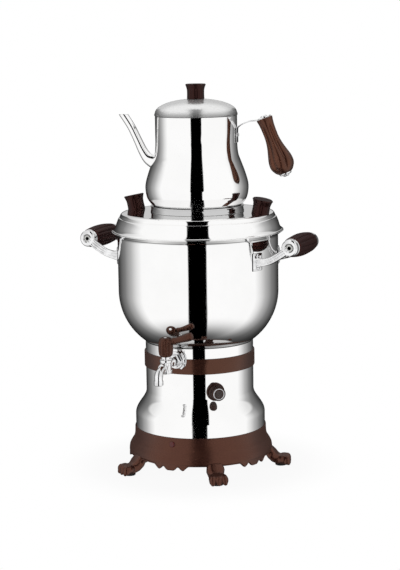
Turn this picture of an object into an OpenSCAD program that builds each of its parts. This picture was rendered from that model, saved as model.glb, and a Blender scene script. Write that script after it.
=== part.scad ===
// Electric samovar with a teapot on its lid.
// Frame: the origin is on the upright axis in the plane that the feet stand on,
// +Z up, the tap points towards -Y. Azimuths are counted from -Y towards +X.

/* [Base ring] */
// How far the ring's top edge stands outside the pedestal shell
ring_over = 1.4; // [1.2:0.1:4]
// How far the ring's skirt stands outside the pedestal shell
ring_flare = 10; // [9:0.1:12]
// Height of the ring from skirt edge to top edge
ring_h = 37.5; // [30:0.5:46]
// Wall of the ring
ring_wall = 3; // [2.2:0.1:4]
// Height of the skirt edge above the ground
skirt_z = 21; // [18:0.5:26]
// Depth of the scallops below the skirt edge
scallop_drop = 6; // [3:0.5:8]

/* [Feet] */
// Number of feet, one scalloped bay between each pair
feet_n = 5; // [4:1:6]
// Radius at the tip of a foot
foot_tip_r = 127; // [122:0.5:132]
// Width of a foot
foot_w = 26; // [20:0.5:30]
// Height of a toe
toe_h = 16; // [14:0.5:19]
// Radius of a rubber pad
pad_r = 8; // [5:0.5:10]
// Thickness of a rubber pad
pad_h = 3; // [2:0.5:5]

/* [Pedestal shell] */
// Outer radius of the lower part
shell_r = 90.5; // [86:0.5:91]
// Outer radius of the neck
neck_r = 75; // [70:0.5:80]
// Sheet thickness
shell_wall = 1; // [0.8:0.1:1.5]
// Height of the lower part
shell_skirt_h = 29; // [22:0.5:36]
// Height of the curved shoulder
shoulder_h = 26; // [18:0.5:34]
// Height of the neck
neck_h = 69; // [62:0.5:80]

/* [Neck band] */
// Height of the brown band
band_h = 21; // [14:0.5:26]
// Thickness of the band
band_t = 1.9; // [1.2:0.1:3]
// Height of the band's lower edge above the shoulder
band_up = 34; // [26:0.5:40]

/* [Tank] */
// Outer radius of the tank
tank_r = 111; // [104:0.5:118]
// Sheet thickness
tank_wall = 1; // [0.8:0.1:1.5]
// Radius of the round lower corner in section
tank_corner_r = 85.4; // [80:0.2:90]
// Straight height of the wall above the round corner
tank_wall_h = 77; // [60:0.5:100]
// Drop from the centre of the round corner to the flat bottom
tank_drop = 74; // [72:0.5:78]
// How far the rim flares out
rim_out = 7.7; // [5:0.1:10]
// Height of the flare
rim_h = 5.5; // [4:0.5:8]

/* [Lid] */
// How far the seam of skirt and crown stands inside the tank's radius
lid_seam_in = 3.4; // [2.4:0.2:4.4]
// Height of the skirt
lid_skirt_h = 19.2; // [14:0.2:26]
// Height of the crown above the seam
lid_crown_h = 6.4; // [4:0.2:10]
// Sheet thickness
lid_wall = 1; // [0.8:0.1:1.5]
// Radius of the steam opening
steam_r = 46; // [35:0.5:54]
// Radius of the collar that carries the teapot
collar_r = 64.6; // [60:0.2:68]
// Height of the collar
collar_h = 9; // [6:0.5:12]
// Distance of a lid knob from the axis
lid_knob_x = 94; // [86:0.5:97]
// Outward lean of a lid knob in degrees
lid_knob_lean = 12; // [0:1:16]

/* [Knobs] */
// Radius of a knob at its flared top
knob_top_r = 14; // [12:0.2:16]
// Radius of a knob's body
knob_body_r = 12.2; // [10:0.2:13]
// Height of a knob
knob_h = 20; // [16:0.5:24]

/* [Side handles] */
// Distance of a grip's axis from the samovar's axis
grip_x = 152; // [146:0.5:160]
// Height of a grip's axis above the centre of the tank's round corner
grip_up = 69; // [60:0.5:76]
// Half length of a grip
grip_half = 33; // [28:0.5:40]
// Radius of a grip in the middle
grip_r = 15.2; // [13:0.2:16]
// Radius of a grip at its ends
grip_end_r = 12.8; // [11:0.2:13.4]
// Radius of a bracket's end boss
boss_r = 11.4; // [10:0.2:13]
// Width of a bracket
arm_w = 8; // [6:0.5:10]
// Radius of the rod through a grip
rod_r = 2.5; // [2:0.1:3.5]

/* [Tap] */
// Distance of the plug's axis from the samovar's axis
plug_y = 107; // [104:0.5:114]
// Height of the tap's pipe above the shoulder
tap_up = 53.5; // [50:0.5:58]
// Radius of the tapered plug
plug_r = 5; // [4:0.1:6]
// Outer radius of the tap's barrel
barrel_r = 8.6; // [7.5:0.1:10]
// Radius of the water way
bore_r = 3; // [2.5:0.1:3.6]
// Outer radius of the pipe
pipe_r = 6; // [5.2:0.1:7]
// Distance of the spout's axis from the samovar's axis
spout_y = 130; // [124:0.5:136]
// Outer radius of the spout
tap_spout_r = 6.5; // [5.5:0.1:8]
// Depth of the spout's mouth below the pipe
spout_drop = 24; // [21:0.5:30]
// Depth of the spout's elbow below the pipe
arm_drop = 9; // [6:0.5:11]
// Radius of the fluted hub of the tap's handle
hub_r = 10; // [8:0.2:11]
// Height of the hub
hub_h = 26; // [24:0.5:30]
// Length of the lever from the hub's axis
lever_l = 42; // [30:0.5:46]
// Rise of the lever in degrees
lever_rise = 18; // [8:1:26]

/* [Thermostat] */
// Azimuth of the thermostat
thermostat_az = 41; // [36:1:50]
// Height of its axis above the shoulder
thermostat_up = 9.5; // [7:0.5:14]
// Radius of the bezel
bezel_r = 12.5; // [10:0.2:14]
// Radius of the knob
dial_r = 10.4; // [8:0.2:11]
// Thickness of the knob
dial_h = 14; // [10:0.5:18]
// Radius of the thermostat's shaft
shaft_r = 3; // [2.5:0.1:4]

/* [Teapot] */
// Turn of the teapot about the axis in degrees
pot_turn = 13; // [-30:1:30]
// Radius of the teapot's neck
pot_neck_r = 56.2; // [52:0.2:60]
// Radius of the teapot's belly
pot_belly_r = 71; // [66:0.2:76]
// Height of the teapot's body
pot_h = 122; // [110:0.5:135]
// Sheet thickness
pot_wall = 1; // [0.8:0.1:1.5]
// Rise of the teapot's lid above its rim
dome_h = 19.5; // [14:0.5:26]
// Reach of the teapot's spout from the axis
pot_spout_x = 102; // [92:0.5:112]
// Bore of the spout at its mouth
pot_spout_bore = 3.6; // [3:0.1:4.5]
// Length of the pear-shaped grip
pear_l = 82; // [70:0.5:92]
// Largest radius of the pear-shaped grip
pear_r = 17.3; // [15:0.1:20]
// Outward lean of the pear-shaped grip in degrees
pear_lean = 21; // [10:1:24]

/* [Inside] */
// Radius of the heating element's loop
loop_r = 44; // [36:0.5:50]
// Radius of the heating element's tube
element_r = 4; // [3:0.2:5]
// Radius of the tie rod
tie_r = 3; // [2:0.2:4]
// Radius of the pilot lamp's lens
lamp_r = 4; // [3:0.2:5]
// Azimuth of the power inlet
inlet_az = 180; // [176:1:184]

/* [Hidden] */
$fn = 96;
fit = 0.05;          // radial clearance of a running or close fit
gap = 0.3;           // clearance between pieces that only rest on each other
eps = 0.02;          // overlap of a cutter past the face that it opens
over = 5;            // length by which a cutter runs past a wall

foot_az0 = 180 / feet_n;
foot_step = 360 / feet_n;

// heights, from the ground up
pot_lid_rim_h = 3.2;
ring_top_r = shell_r + ring_over;
ring_skirt_r = shell_r + ring_flare;
ring_top_z = skirt_z + ring_h;
ring_lip_h = 3.5;
shell_z = ring_top_z - ring_lip_h;
shoulder_z = shell_z + shell_skirt_h;
neck_z = shoulder_z + shoulder_h;
neck_top_z = neck_z + neck_h;
band_z = neck_z + band_up;
corner_x = tank_r - tank_corner_r;
corner_z = neck_top_z + gap + corner_depth(neck_r - shell_wall);
tank_z = corner_z - tank_drop;
rim_z = corner_z + tank_wall_h;
rim_top_z = rim_z + rim_h;
rim_r = tank_r + rim_out;
rim_slant = norm([rim_out, rim_h]);
lip_r = rim_r - tank_wall * rim_h / rim_slant;
lip_z = rim_top_z + tank_wall * rim_out / rim_slant;
lid_edge_r = rim_r - tank_wall;
lid_seam_r = tank_r - lid_seam_in;
lid_z = lip_z - (lip_r - lid_edge_r) * rim_h / rim_out + gap;
lid_seam_z = lid_z + lid_skirt_h;
lid_top_z = lid_seam_z + lid_crown_h;
collar_top_z = lid_top_z + collar_h;
pot_z = collar_top_z + gap;
pot_top_z = pot_z + pot_h;
pot_lid_z = pot_top_z + gap;
dome_z = pot_lid_z + pot_lid_rim_h;
dome_top_z = dome_z + dome_h;
grip_z = corner_z + grip_up;
tap_z = neck_z + tap_up;
thermostat_z = neck_z + thermostat_up;

// the round corner of the tank
function corner_depth(r) = sqrt(pow(tank_corner_r, 2) - pow(r - corner_x, 2));
tank_flat_r = corner_x + sqrt(pow(tank_corner_r, 2) - pow(tank_drop, 2));

// base ring and what it carries: a foot's lug stands inside the skirt, under the ledge
screw_r = 2;
lug_w = 12;
lug_in = 8.5;
lug_r = ring_skirt_r - ring_wall - gap - 0.4;
plate_t = 1.5;
plate_r = lug_r - lug_in - 0.6;
plate_screw_r = plate_r - 4.5;
ledge_r = plate_screw_r - 3;
ledge_t = 3;
ledge_z = skirt_z + 6;
screw_head_r = 3.6;
screw_head_t = 2.4;
foot_screw_r = 1.6;
foot_screw_head = 2.5;
seat_w = 4.5;
vent_r = 3;

// side handles
arm_y = grip_half + arm_w / 2;
ferrule_t = 3;
pad_t = 1.5;
pad_w = 18;
pad_tall = 24;
pad_z = grip_z - 21;
rivet_r = 2;
rivet_dz = 8;
cap_sink = 2;
cap_r = 5;

// tap
plug_top_z = tap_z + 10;
plug_low_z = tap_z - 9;
barrel_top_z = tap_z + 6.8;
barrel_low_z = tap_z - 11;
barrel_floor = 2;
stem_r = 3.4;
hub_z = tap_z + 11.2;
plug_collar_r = 6.2;
plug_collar_h = 3.2;
arm_dip = atan(arm_drop / (spout_y - plug_y));
arm_l = norm([spout_y - plug_y, arm_drop]);
flange_r = 15.5;
flange_t = 2;
flange_back = neck_r - sqrt(pow(neck_r, 2) - pow(flange_r, 2));
washer_t = 1.5;
gasket_r = 9;
tap_nut_r = neck_r - 5;
tail_l = 26;
nut_t = 5;
nut_r = 10;
elbow_y = 54;
elbow_r = 6.2;
outlet_nut_r = 11;
outlet_nut_t = 4;

// thermostat
bezel_t = 3;
dial_gap = 0.5;
ring_w = 2;
ring_t = 1.2;
body_w = 26;
body_t = 14;
body_out = 62;
bush_r = 5;
shaft_out = neck_r + bezel_t + dial_gap + dial_h - 4;

// teapot
pot_lid_r = pot_neck_r + 0.8;
pot_rim_drop = 7;
mouth_z = 123.7;
strap_t = 1.4;
strap_w = 14;
eye_t = strap_t + 0.2;
eye_r = 9.5;
strap_plate_z = pot_z + 95.5;
strap_plate_h = 20;
pear_x = pot_neck_r + 38.5;
pear_z = pot_z + 118;
pear_bolt_r = 2.5;
pear_cap_t = 3;

// inside
element_x = 25;
element_y = 18;
element_up = 16;
element_tail = 20;
element_nut_r = 8;
element_nut_t = 4;
washer_r = 9;
lamp_z = skirt_z + 28.5;
lamp_body_l = 14;
inlet_w = 30;
inlet_h = 22;
inlet_t = 3;
inlet_box_w = 25;
inlet_box_h = 17;
inlet_depth = 22;
inlet_z = ring_top_z + inlet_h / 2 + 1;
wire_r = 1.4;

// ---------- outlines ----------

function unit(v) = v / norm(v);
function flip(p) = [for (i = [len(p) - 1 : -1 : 0]) p[i]];
function heading(p, i) = unit(p[min(i + 1, len(p) - 1)] - p[max(i - 1, 0)]);
// a line beside p, at distance d to the left of the way along it
function beside(p, d) = [for (i = [0 : len(p) - 1])
    let (t = heading(p, i)) p[i] + d * [-t[1], t[0]]];
// points on a smooth curve through the knots k, n steps between each pair
function smooth(k, n) = concat(
    [for (i = [0 : len(k) - 2], j = [0 : n - 1])
        let (a = k[max(i - 1, 0)], b = k[i], c = k[i + 1], d = k[min(i + 2, len(k) - 1)],
             t = j / n)
        0.5 * (2 * b + t * (c - a) + t * t * (2 * a - 5 * b + 4 * c - d)
               + t * t * t * (3 * b - a - 3 * c + d))],
    [k[len(k) - 1]]);
// an S-shaped blend from one radius to another
function s_blend(r1, z1, r2, z2, n) = [for (i = [0 : n])
    [r1 + (r2 - r1) * (1 - cos(180 * i / n)) / 2, z1 + (z2 - z1) * i / n]];

module turned(p) {
    rotate_extrude() polygon(p);
}

// a sheet of even thickness, outer line given from the bottom up
module spun_sheet(p, wall) {
    turned(concat(p, flip(beside(p, wall))));
}

// a closed skin over rings that all have the same number of points
module skin(rings) {
    m = len(rings);
    n = len(rings[0]);
    sides = [for (i = [0 : m - 2], k = [0 : n - 1], h = [0, 1]) h == 0
        ? [i * n + k, i * n + (k + 1) % n, (i + 1) * n + (k + 1) % n]
        : [i * n + k, (i + 1) * n + (k + 1) % n, (i + 1) * n + k]];
    polyhedron([for (r = rings) each r], concat(sides, [[for (k = [n - 1 : -1 : 0]) k]],
        [[for (k = [0 : n - 1]) (m - 1) * n + k]]));
}

// the solid of revolution within a line, grown by d
module inside_of(p, d) {
    n = len(p) - 1;
    turned(concat([[0, p[0][1] - over], [p[0][0] + d, p[0][1] - over]], [for (q = p) q + [d, 0]],
        [[p[n][0] + d, p[n][1] + over], [0, p[n][1] + over]]));
}

module at_az(az, r, z) {
    rotate([0, 0, az]) translate([0, -r, z]) children();
}

// a cylinder that points outward from the axis
module outward(l, r) {
    rotate([90, 0, 0]) cylinder(h = l, r = r);
}

module pan_screw(r, l, head_r, head_t) {
    union() {
        translate([0, 0, -head_t / 2]) cylinder(h = l + head_t / 2, r = r);
        translate([0, 0, -head_t]) cylinder(h = head_t, r = head_r);
    }
}

module hex_nut(across, t, hole_r) {
    difference() {
        cylinder(h = t, r = across, $fn = 6);
        translate([0, 0, -over]) cylinder(h = t + 2 * over, r = hole_r);
    }
}

// ---------- base ----------

function ring_line() = smooth([
    [ring_skirt_r - 0.3, skirt_z],
    [ring_skirt_r, skirt_z + 4],
    [ring_skirt_r - 0.8, skirt_z + 10],
    [ring_skirt_r - 3.6, skirt_z + 15.5],
    [ring_top_r + 2.2, skirt_z + 20],
    [ring_top_r + 0.5, skirt_z + 26],
    [ring_top_r, ring_top_z]], 4);

// half width of a bay's lobes at their lower edge and at the skirt
lobes_low = 17.5;
lobes_high = 25.5;

// cuts the skirt's lower edge along line, [across, height] points, as deep as that line needs
module skirt_cut(line, half_width) {
    start = ring_skirt_r * cos(asin(half_width / ring_skirt_r)) - ring_wall - 2 * over;
    translate([0, -start, skirt_z]) rotate([90, 0, 0])
        linear_extrude(ring_skirt_r - start + over) polygon(line);
}

// how far from a foot's middle a point stands that is across from the bay's middle
function from_foot(across) = ring_skirt_r * sin(foot_step / 2 - asin(across / ring_skirt_r));

// the long gap in the lobes where a foot stands
module foot_cut() {
    low = from_foot(lobes_low);
    high = from_foot(lobes_high);
    below = low + (low - high) * over / scallop_drop;
    skirt_cut([[-below, -scallop_drop - over], [-high, 0.4], [high, 0.4],
        [below, -scallop_drop - over]], below);
}

// the notch between the middle lobe and a side lobe
module notch_cut() {
    skirt_cut([[5.2, -scallop_drop - over], [10.4, -1.3], [11.6, -1.3],
        [lobes_low, -scallop_drop - over]], lobes_low);
}

module foot_screw_places() {
    for (k = [0 : feet_n - 1])
        at_az(foot_az0 + k * foot_step, lug_r - lug_in / 2, ledge_z) children();
}

module base_ring() {
    inner = beside(ring_line(), ring_wall);
    seat_r = shell_r + gap;
    lip_out_r = ring_skirt_r - 0.3;
    lip_in_r = lip_out_r - ring_wall;
    color("#5f4134") difference() {
        union() {
            turned(concat(ring_line(), [[seat_r, ring_top_z], [seat_r, shell_z],
                [seat_r - seat_w, shell_z], [seat_r - seat_w, shell_z - 3]],
                flip([for (q = inner) if (q[1] < shell_z - 3 && q[1] > skirt_z + 1) q]),
                [[lip_in_r, skirt_z - scallop_drop], [lip_out_r, skirt_z - scallop_drop]]));
            rotate_extrude() translate([ledge_r, ledge_z])
                square([ring_skirt_r - 1 - ledge_r, ledge_t]);
        }
        for (k = [0 : feet_n - 1]) rotate([0, 0, k * foot_step]) {
            rotate([0, 0, foot_az0]) foot_cut();
            notch_cut();
            mirror([1, 0, 0]) notch_cut();
        }
        foot_screw_places() translate([0, 0, -over])
            cylinder(h = 3 * over, r = foot_screw_r + fit);
        for (k = [0 : feet_n - 1])
            at_az(k * foot_step, plate_screw_r, ledge_z - over)
                cylinder(h = 3 * over, r = screw_r + fit);
        at_az(0, ledge_r, lamp_z) outward(6 * over, lamp_r + fit);
    }
}

module foot_side() {
    tip = foot_tip_r;
    top = smooth([[ring_skirt_r - 4, skirt_z + 8], [ring_skirt_r + 1, skirt_z + 4],
        [ring_skirt_r + 6.5, toe_h + 3.4], [ring_skirt_r + 14, toe_h + 1.2],
        [tip - 3, toe_h - 0.6], [tip, toe_h - 4], [tip - 0.8, 5], [tip - 4, 1.5]], 4);
    polygon(concat([[ring_skirt_r + 4, 1.5], [ring_skirt_r - 3, 6.5],
        [lug_r - lug_in, 15], [lug_r - lug_in, skirt_z + 2]], top));
}

module one_foot() {
    toes = [-1, 0, 1];
    union() {
        difference() {
            rotate([90, 0, 90]) translate([0, 0, -foot_w / 2 + 2])
                linear_extrude(foot_w - 4) mirror([1, 0]) foot_side();
            translate([0, 0, skirt_z - gap]) cylinder(h = ring_h, r = ring_skirt_r + gap);
        }
        for (s = toes) translate([s * (foot_w - 9) / 2, -foot_tip_r + 12, toe_h / 2 + 1])
            intersection() {
                rotate([78, 0, 0]) translate([0, 0, -4])
                    cylinder(h = 15, r = 4.6 + 0.6 * (1 - abs(s)));
                translate([-over, -12, 0.5 - toe_h / 2]) cube([2 * over, 24, toe_h]);
            }
        translate([-lug_w / 2, -lug_r, skirt_z - 2 * over])
            cube([lug_w, lug_in, ledge_z - gap - skirt_z + 2 * over]);
    }
}

module feet() {
    color("#5f4134") difference() {
        for (k = [0 : feet_n - 1]) rotate([0, 0, foot_az0 + k * foot_step]) one_foot();
        foot_screw_places() translate([0, 0, -3 * over])
            cylinder(h = 4 * over, r = foot_screw_r + fit);
        for (k = [0 : feet_n - 1])
            at_az(foot_az0 + k * foot_step, foot_tip_r - 14, 0)
                cylinder(h = pad_h, r = pad_r + fit);
    }
}

module foot_pads() {
    color("#222222") for (k = [0 : feet_n - 1])
        at_az(foot_az0 + k * foot_step, foot_tip_r - 14, 0) cylinder(h = pad_h, r = pad_r);
}

module foot_screws() {
    color("#c0c0c0") foot_screw_places() translate([0, 0, ledge_t + fit]) rotate([180, 0, 0])
        pan_screw(foot_screw_r, ledge_t + 12, foot_screw_head, screw_head_t - 0.6);
}

module bottom_plate() {
    color("#9a9a9a") translate([0, 0, ledge_z - plate_t]) difference() {
        cylinder(h = plate_t, r = plate_r);
        for (k = [0 : feet_n - 1])
            at_az(k * foot_step, plate_screw_r, -over) cylinder(h = 3 * over, r = screw_r + fit);
        translate([0, 0, -over]) cylinder(h = 3 * over, r = tie_r + fit);
        for (a = [0 : 30 : 330], r = [34, 52])
            at_az(a, r, -over) cylinder(h = 3 * over, r = vent_r);
    }
}

module bottom_screws() {
    color("#c0c0c0") for (k = [0 : feet_n - 1])
        at_az(k * foot_step, plate_screw_r, ledge_z - plate_t)
            pan_screw(screw_r, plate_t + ledge_t + 2, screw_head_r, screw_head_t);
}

function shell_line() = concat(
    [[shell_r, shell_z], [shell_r, shoulder_z - 8]],
    s_blend(shell_r, shoulder_z, neck_r, neck_z, 12),
    [[neck_r, neck_top_z]]);

module pedestal_shell() {
    color("#d8d8da") difference() {
        spun_sheet(shell_line(), shell_wall);
        at_az(0, neck_r - over, tap_z) outward(2 * over, pipe_r + fit);
        at_az(thermostat_az, neck_r - over, thermostat_z) outward(2 * over, bush_r + fit);
        at_az(inlet_az, shell_r - over, inlet_z) translate([0, 0, 0])
            rotate([90, 0, 0]) translate([-inlet_box_w / 2 - fit, -inlet_box_h / 2 - fit, 0])
                cube([inlet_box_w + 2 * fit, inlet_box_h + 2 * fit, 2 * over]);
        inlet_screw_places() translate([0, over, 0]) outward(2 * over, screw_r + fit);
    }
}

module neck_band() {
    color("#5a3c30") difference() {
        turned([[neck_r + fit, band_z], [neck_r + band_t - 0.4, band_z],
            [neck_r + band_t, band_z + 0.8], [neck_r + band_t, band_z + band_h - 0.8],
            [neck_r + band_t - 0.4, band_z + band_h], [neck_r + fit, band_z + band_h]]);
        at_az(0, neck_r - over, tap_z) outward(4 * over, flange_r + gap);
    }
}

// ---------- tank ----------

function tank_line() = let (a0 = acos(tank_drop / tank_corner_r)) concat(
    [[0, tank_z], [tank_flat_r - 3, tank_z]],
    [for (i = [0 : 14]) let (a = a0 + (90 - a0) * i / 14)
        [corner_x + tank_corner_r * sin(a), corner_z - tank_corner_r * cos(a)]],
    [[tank_r, rim_z], [tank_r + rim_out * 0.35, rim_z + rim_h * 0.35], [rim_r, rim_top_z]]);

module tank() {
    outer = tank_line();
    inner = beside(outer, tank_wall);
    color("#dcdcde") difference() {
        turned(concat(outer, flip([for (i = [1 : len(inner) - 1]) inner[i]]),
            [[0, tank_z + tank_wall]]));
        at_az(0, elbow_y, tank_z - over) cylinder(h = 3 * over, r = elbow_r + fit);
        element_places() translate([0, 0, -over]) cylinder(h = 3 * over, r = element_r + fit);
        translate([0, 0, tank_z - over]) cylinder(h = over + 0.4, r = tie_r + fit);
        handle_pads() rivet_holes();
    }
}

module element_places() {
    for (s = [-1, 1]) translate([s * element_x, element_y, tank_z]) children();
}

module tie_rod() {
    low = ledge_z - plate_t - 6;
    color("#b8b8b8") difference() {
        union() {
            translate([0, 0, low]) cylinder(h = tank_z - low, r = tie_r);
            translate([0, 0, tank_z - 3]) cylinder(h = 3 - fit, r = 9);
        }
        translate([0, 0, tank_z - fit]) cylinder(h = over, r = tie_r + 1);
    }
}

module tie_rod_nut() {
    color("#c0c0c0") translate([0, 0, ledge_z - plate_t - 5])
        hex_nut(6, 5, tie_r + fit);
}

// centre line of the element: up a leg, a quarter bend, most of a ring and down the other leg
function element_half() = let (top = tank_z + element_up, b = 10, y = element_y,
    a0 = asin(y / loop_r), x1 = loop_r * cos(a0) - 3) concat(
    [[element_x, y, tank_z - element_tail], [element_x, y, tank_z + 1]],
    [for (a = [0 : 18 : 90]) [element_x + b * (1 - cos(a)), y, top - b * (1 - sin(a))]],
    [for (a = [16 : 8 : 90 + a0]) let (d = a0 - a) [loop_r * cos(d), loop_r * sin(d), top]]);

module heating_element() {
    half = element_half();
    n = len(half) - 1;
    other = [for (i = [n : -1 : 0]) if (half[i][0] > 0.1) [-half[i][0], half[i][1], half[i][2]]];
    p = concat([for (q = half) if (q[0] > 0.1) q], other);
    color("#8c8f92") skin([for (i = [0 : len(p) - 1]) lead_ring(p, i, element_r, 16)]);
}

module element_nuts() {
    color("#b5912f") element_places()
        translate([0, 0, -washer_t - element_nut_t]) hex_nut(element_nut_r, element_nut_t,
            element_r + fit);
}

module element_gaskets() {
    color("#8a3a2a") element_places() translate([0, 0, -washer_t]) difference() {
        cylinder(h = washer_t - fit, r = washer_r);
        translate([0, 0, -over]) cylinder(h = 3 * over, r = element_r + fit);
    }
}

module thermal_cutout() {
    color("#d9d2c0") translate([-20, -24, tank_z - 12]) union() {
        cylinder(h = 10, r = 9);
        translate([0, 0, 10 - eps]) cylinder(h = 2 - fit, r = 12);
        for (s = [-1, 1]) translate([s * 5 - 1.5, -0.4, -7]) cube([3, 0.8, 7 + eps]);
    }
}

// ---------- tap ----------

module outlet_elbow() {
    r = elbow_r;
    color("#c9a24a") difference() {
        union() {
            at_az(0, elbow_y, tap_z) cylinder(h = tank_z + 8 - tap_z, r = r);
            at_az(0, elbow_y, tap_z) sphere(r = r + 2.2);
            at_az(0, elbow_y, tap_z) outward(10, r + 2.2);
            at_az(0, elbow_y, tank_z - 3.2) cylinder(h = 3.2 - fit, r = r + 3);
        }
        at_az(0, elbow_y, tap_z) cylinder(h = tank_z + 9 - tap_z, r = bore_r + 1);
        at_az(0, elbow_y, tap_z) outward(12, bore_r + 1);
        at_az(0, elbow_y + 5, tap_z) outward(12, pipe_r + fit);
    }
}

module outlet_nut() {
    color("#c9a24a") at_az(0, elbow_y, tank_z + tank_wall + fit)
        hex_nut(outlet_nut_r, outlet_nut_t, elbow_r + fit);
}

// the arm that slopes from the barrel to the spout's elbow
module tap_arm(r) {
    at_az(0, plug_y, tap_z) rotate([90 + arm_dip, 0, 0]) cylinder(h = arm_l, r = r);
}

module tap_body() {
    tail = neck_r - tail_l + 11;
    mouth = tap_z - spout_drop;
    color("#d4d4d6") difference() {
        union() {
            at_az(0, tail, tap_z) outward(plug_y - tail, pipe_r);
            at_az(0, neck_r + flange_t + 1.3 * washer_t, tap_z) rotate([90, 0, 0])
                cylinder(h = 6, r = 9.5, $fn = 6);
            at_az(0, plug_y, barrel_low_z)
                cylinder(h = barrel_top_z - barrel_low_z, r = barrel_r);
            at_az(0, plug_y, barrel_low_z - 2) cylinder(h = 4, r = barrel_r - 2);
            tap_arm(tap_spout_r - 1);
            at_az(0, spout_y, tap_z - arm_drop) sphere(r = tap_spout_r + 0.5);
            at_az(0, spout_y, mouth) cylinder(h = spout_drop - arm_drop, r = tap_spout_r - 0.8);
            at_az(0, spout_y, mouth) cylinder(h = 7, r = tap_spout_r);
        }
        at_az(0, plug_y, plug_low_z) cylinder(h = 3 * over, r = plug_r + fit);
        at_az(0, plug_y, plug_low_z) cylinder(h = 6 * over, r = plug_r + fit);
        at_az(0, tail - over, tap_z) outward(plug_y - tail + over, bore_r);
        tap_arm(bore_r);
        at_az(0, spout_y, mouth - over)
            cylinder(h = spout_drop - arm_drop + over + bore_r, r = bore_r + 0.4);
    }
}

module tap_flange() {
    color("#d8d8da") at_az(0, neck_r, tap_z) difference() {
        translate([0, flange_back, 0]) rotate([90, 0, 0]) union() {
            cylinder(h = flange_back + flange_t - 0.4, r = flange_r);
            translate([0, 0, flange_back + flange_t - 0.4 - eps])
                cylinder(h = washer_t, r = flange_r - 4);
        }
        translate([0, over, 0]) outward(4 * over, pipe_r + fit);
        translate([0, neck_r, -tap_z]) cylinder(h = 2 * tap_z, r = neck_r + fit);
    }
}

module tap_gasket() {
    out = sqrt(pow(neck_r - shell_wall - gap / 3, 2) - pow(gasket_r, 2));
    color("#303030") at_az(0, tap_nut_r, tap_z) difference() {
        outward(out - tap_nut_r, gasket_r);
        translate([0, over, 0]) outward(4 * over, pipe_r + fit);
    }
}

module tap_lock_nut() {
    color("#c9a24a") at_az(0, tap_nut_r - nut_t, tap_z) rotate([90, 0, 0])
        hex_nut(nut_r, nut_t - fit, pipe_r + fit);
}

module tap_plug() {
    color("#d4d4d6") difference() {
        union() {
            at_az(0, plug_y, plug_low_z + gap)
                cylinder(h = barrel_top_z - plug_low_z, r = plug_r);
            at_az(0, plug_y, barrel_top_z) cylinder(h = hub_z - barrel_top_z + 14, r = stem_r);
            at_az(0, plug_y, hub_z - plug_collar_h - fit)
                cylinder(h = plug_collar_h, r = plug_collar_r);
        }
        at_az(0, plug_y, tap_z) translate([-2 * over, 0, 0]) rotate([0, 90, 0])
            cylinder(h = 4 * over, r = bore_r);
        at_az(0, plug_y, hub_z + 8) cylinder(h = 20, r = 1.5 + fit);
    }
}

function hub_line() = smooth([[hub_r * 0.72, 0], [hub_r * 0.92, 3], [hub_r, hub_h * 0.36],
    [hub_r * 0.98, hub_h * 0.7], [hub_r * 0.8, hub_h * 0.93], [hub_r * 0.45, hub_h]], 4);

module tap_handle() {
    flutes = 8;
    color("#6b3f2c") at_az(0, plug_y, hub_z) difference() {
        union() {
            difference() {
                turned(concat([[0, 0]], hub_line(), [[0, hub_h]]));
                for (a = [0 : 360 / flutes : 359])
                    rotate([0, 0, a + 180 / flutes]) translate([hub_r + 1.6, 0, 2])
                        cylinder(h = hub_h * 0.66, r = 2.6);
            }
            translate([0, 0, hub_h - 8.5]) rotate([0, 90 - lever_rise, 0]) union() {
                cylinder(h = lever_l - 5, r1 = 5.4, r2 = 5.8);
                translate([0, 0, lever_l - 5]) sphere(r = 5.8);
            }
        }
        translate([0, 0, -over]) cylinder(h = over + 14 + fit, r = stem_r + fit);
        cylinder(h = hub_h + over, r = 1.5 + fit);
        translate([0, 0, hub_h - 2.5]) cylinder(h = over, r = 3 + fit);
    }
}

module tap_handle_screw() {
    color("#c8c8c8") at_az(0, plug_y, hub_z) union() {
        translate([0, 0, 9]) cylinder(h = hub_h - 2.5 - 9, r = 1.5);
        translate([0, 0, hub_h - 2.5]) cylinder(h = 2.2, r = 3);
    }
}

// ---------- electrical ----------

module thermostat_body() {
    color("#e4e0d6") at_az(thermostat_az, 0, thermostat_z) difference() {
        union() {
            translate([-body_w / 2, -body_out - body_t + 4, -body_w / 2])
                cube([body_w, body_t, body_w]);
            translate([0, -body_out - 8, 0]) outward(neck_r + 1.6 - body_out - 8, bush_r);
            for (s = [-1, 1]) translate([s * 7 - 1.6, -body_out - 10 + 4 + 6, -4])
                cube([3.2, 8, 0.8]);
        }
        translate([0, -body_out, 0]) outward(30, shaft_r + fit);
    }
}

module thermostat_nut() {
    color("#b9b9b9") at_az(thermostat_az, neck_r + 0.1, thermostat_z) rotate([90, 0, 0])
        difference() {
            cylinder(h = 1.5, r = 7.5, $fn = 6);
            translate([0, 0, -over]) cylinder(h = 3 * over, r = bush_r + fit);
        }
}

module thermostat_bezel() {
    color("#3c2620") at_az(thermostat_az, 0, thermostat_z) difference() {
        translate([0, -neck_r + 3, 0]) rotate([90, 0, 0]) union() {
            cylinder(h = bezel_t + 3 - 0.8, r = bezel_r);
            translate([0, 0, bezel_t + 3 - 0.8 - eps])
                cylinder(h = 0.8, r1 = bezel_r, r2 = bezel_r - 0.8);
        }
        translate([0, 0, -thermostat_z]) inside_of(shell_line(), gap);
        translate([0, -neck_r + over, 0]) outward(over + 1.8, 8);
        translate([0, -neck_r + over, 0]) outward(4 * over, shaft_r + 2);
    }
}

module thermostat_shaft() {
    color("#b0b0b0") at_az(thermostat_az, 0, thermostat_z)
        translate([0, -body_out - 1, 0]) outward(shaft_out - body_out - 1, shaft_r);
}

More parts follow.
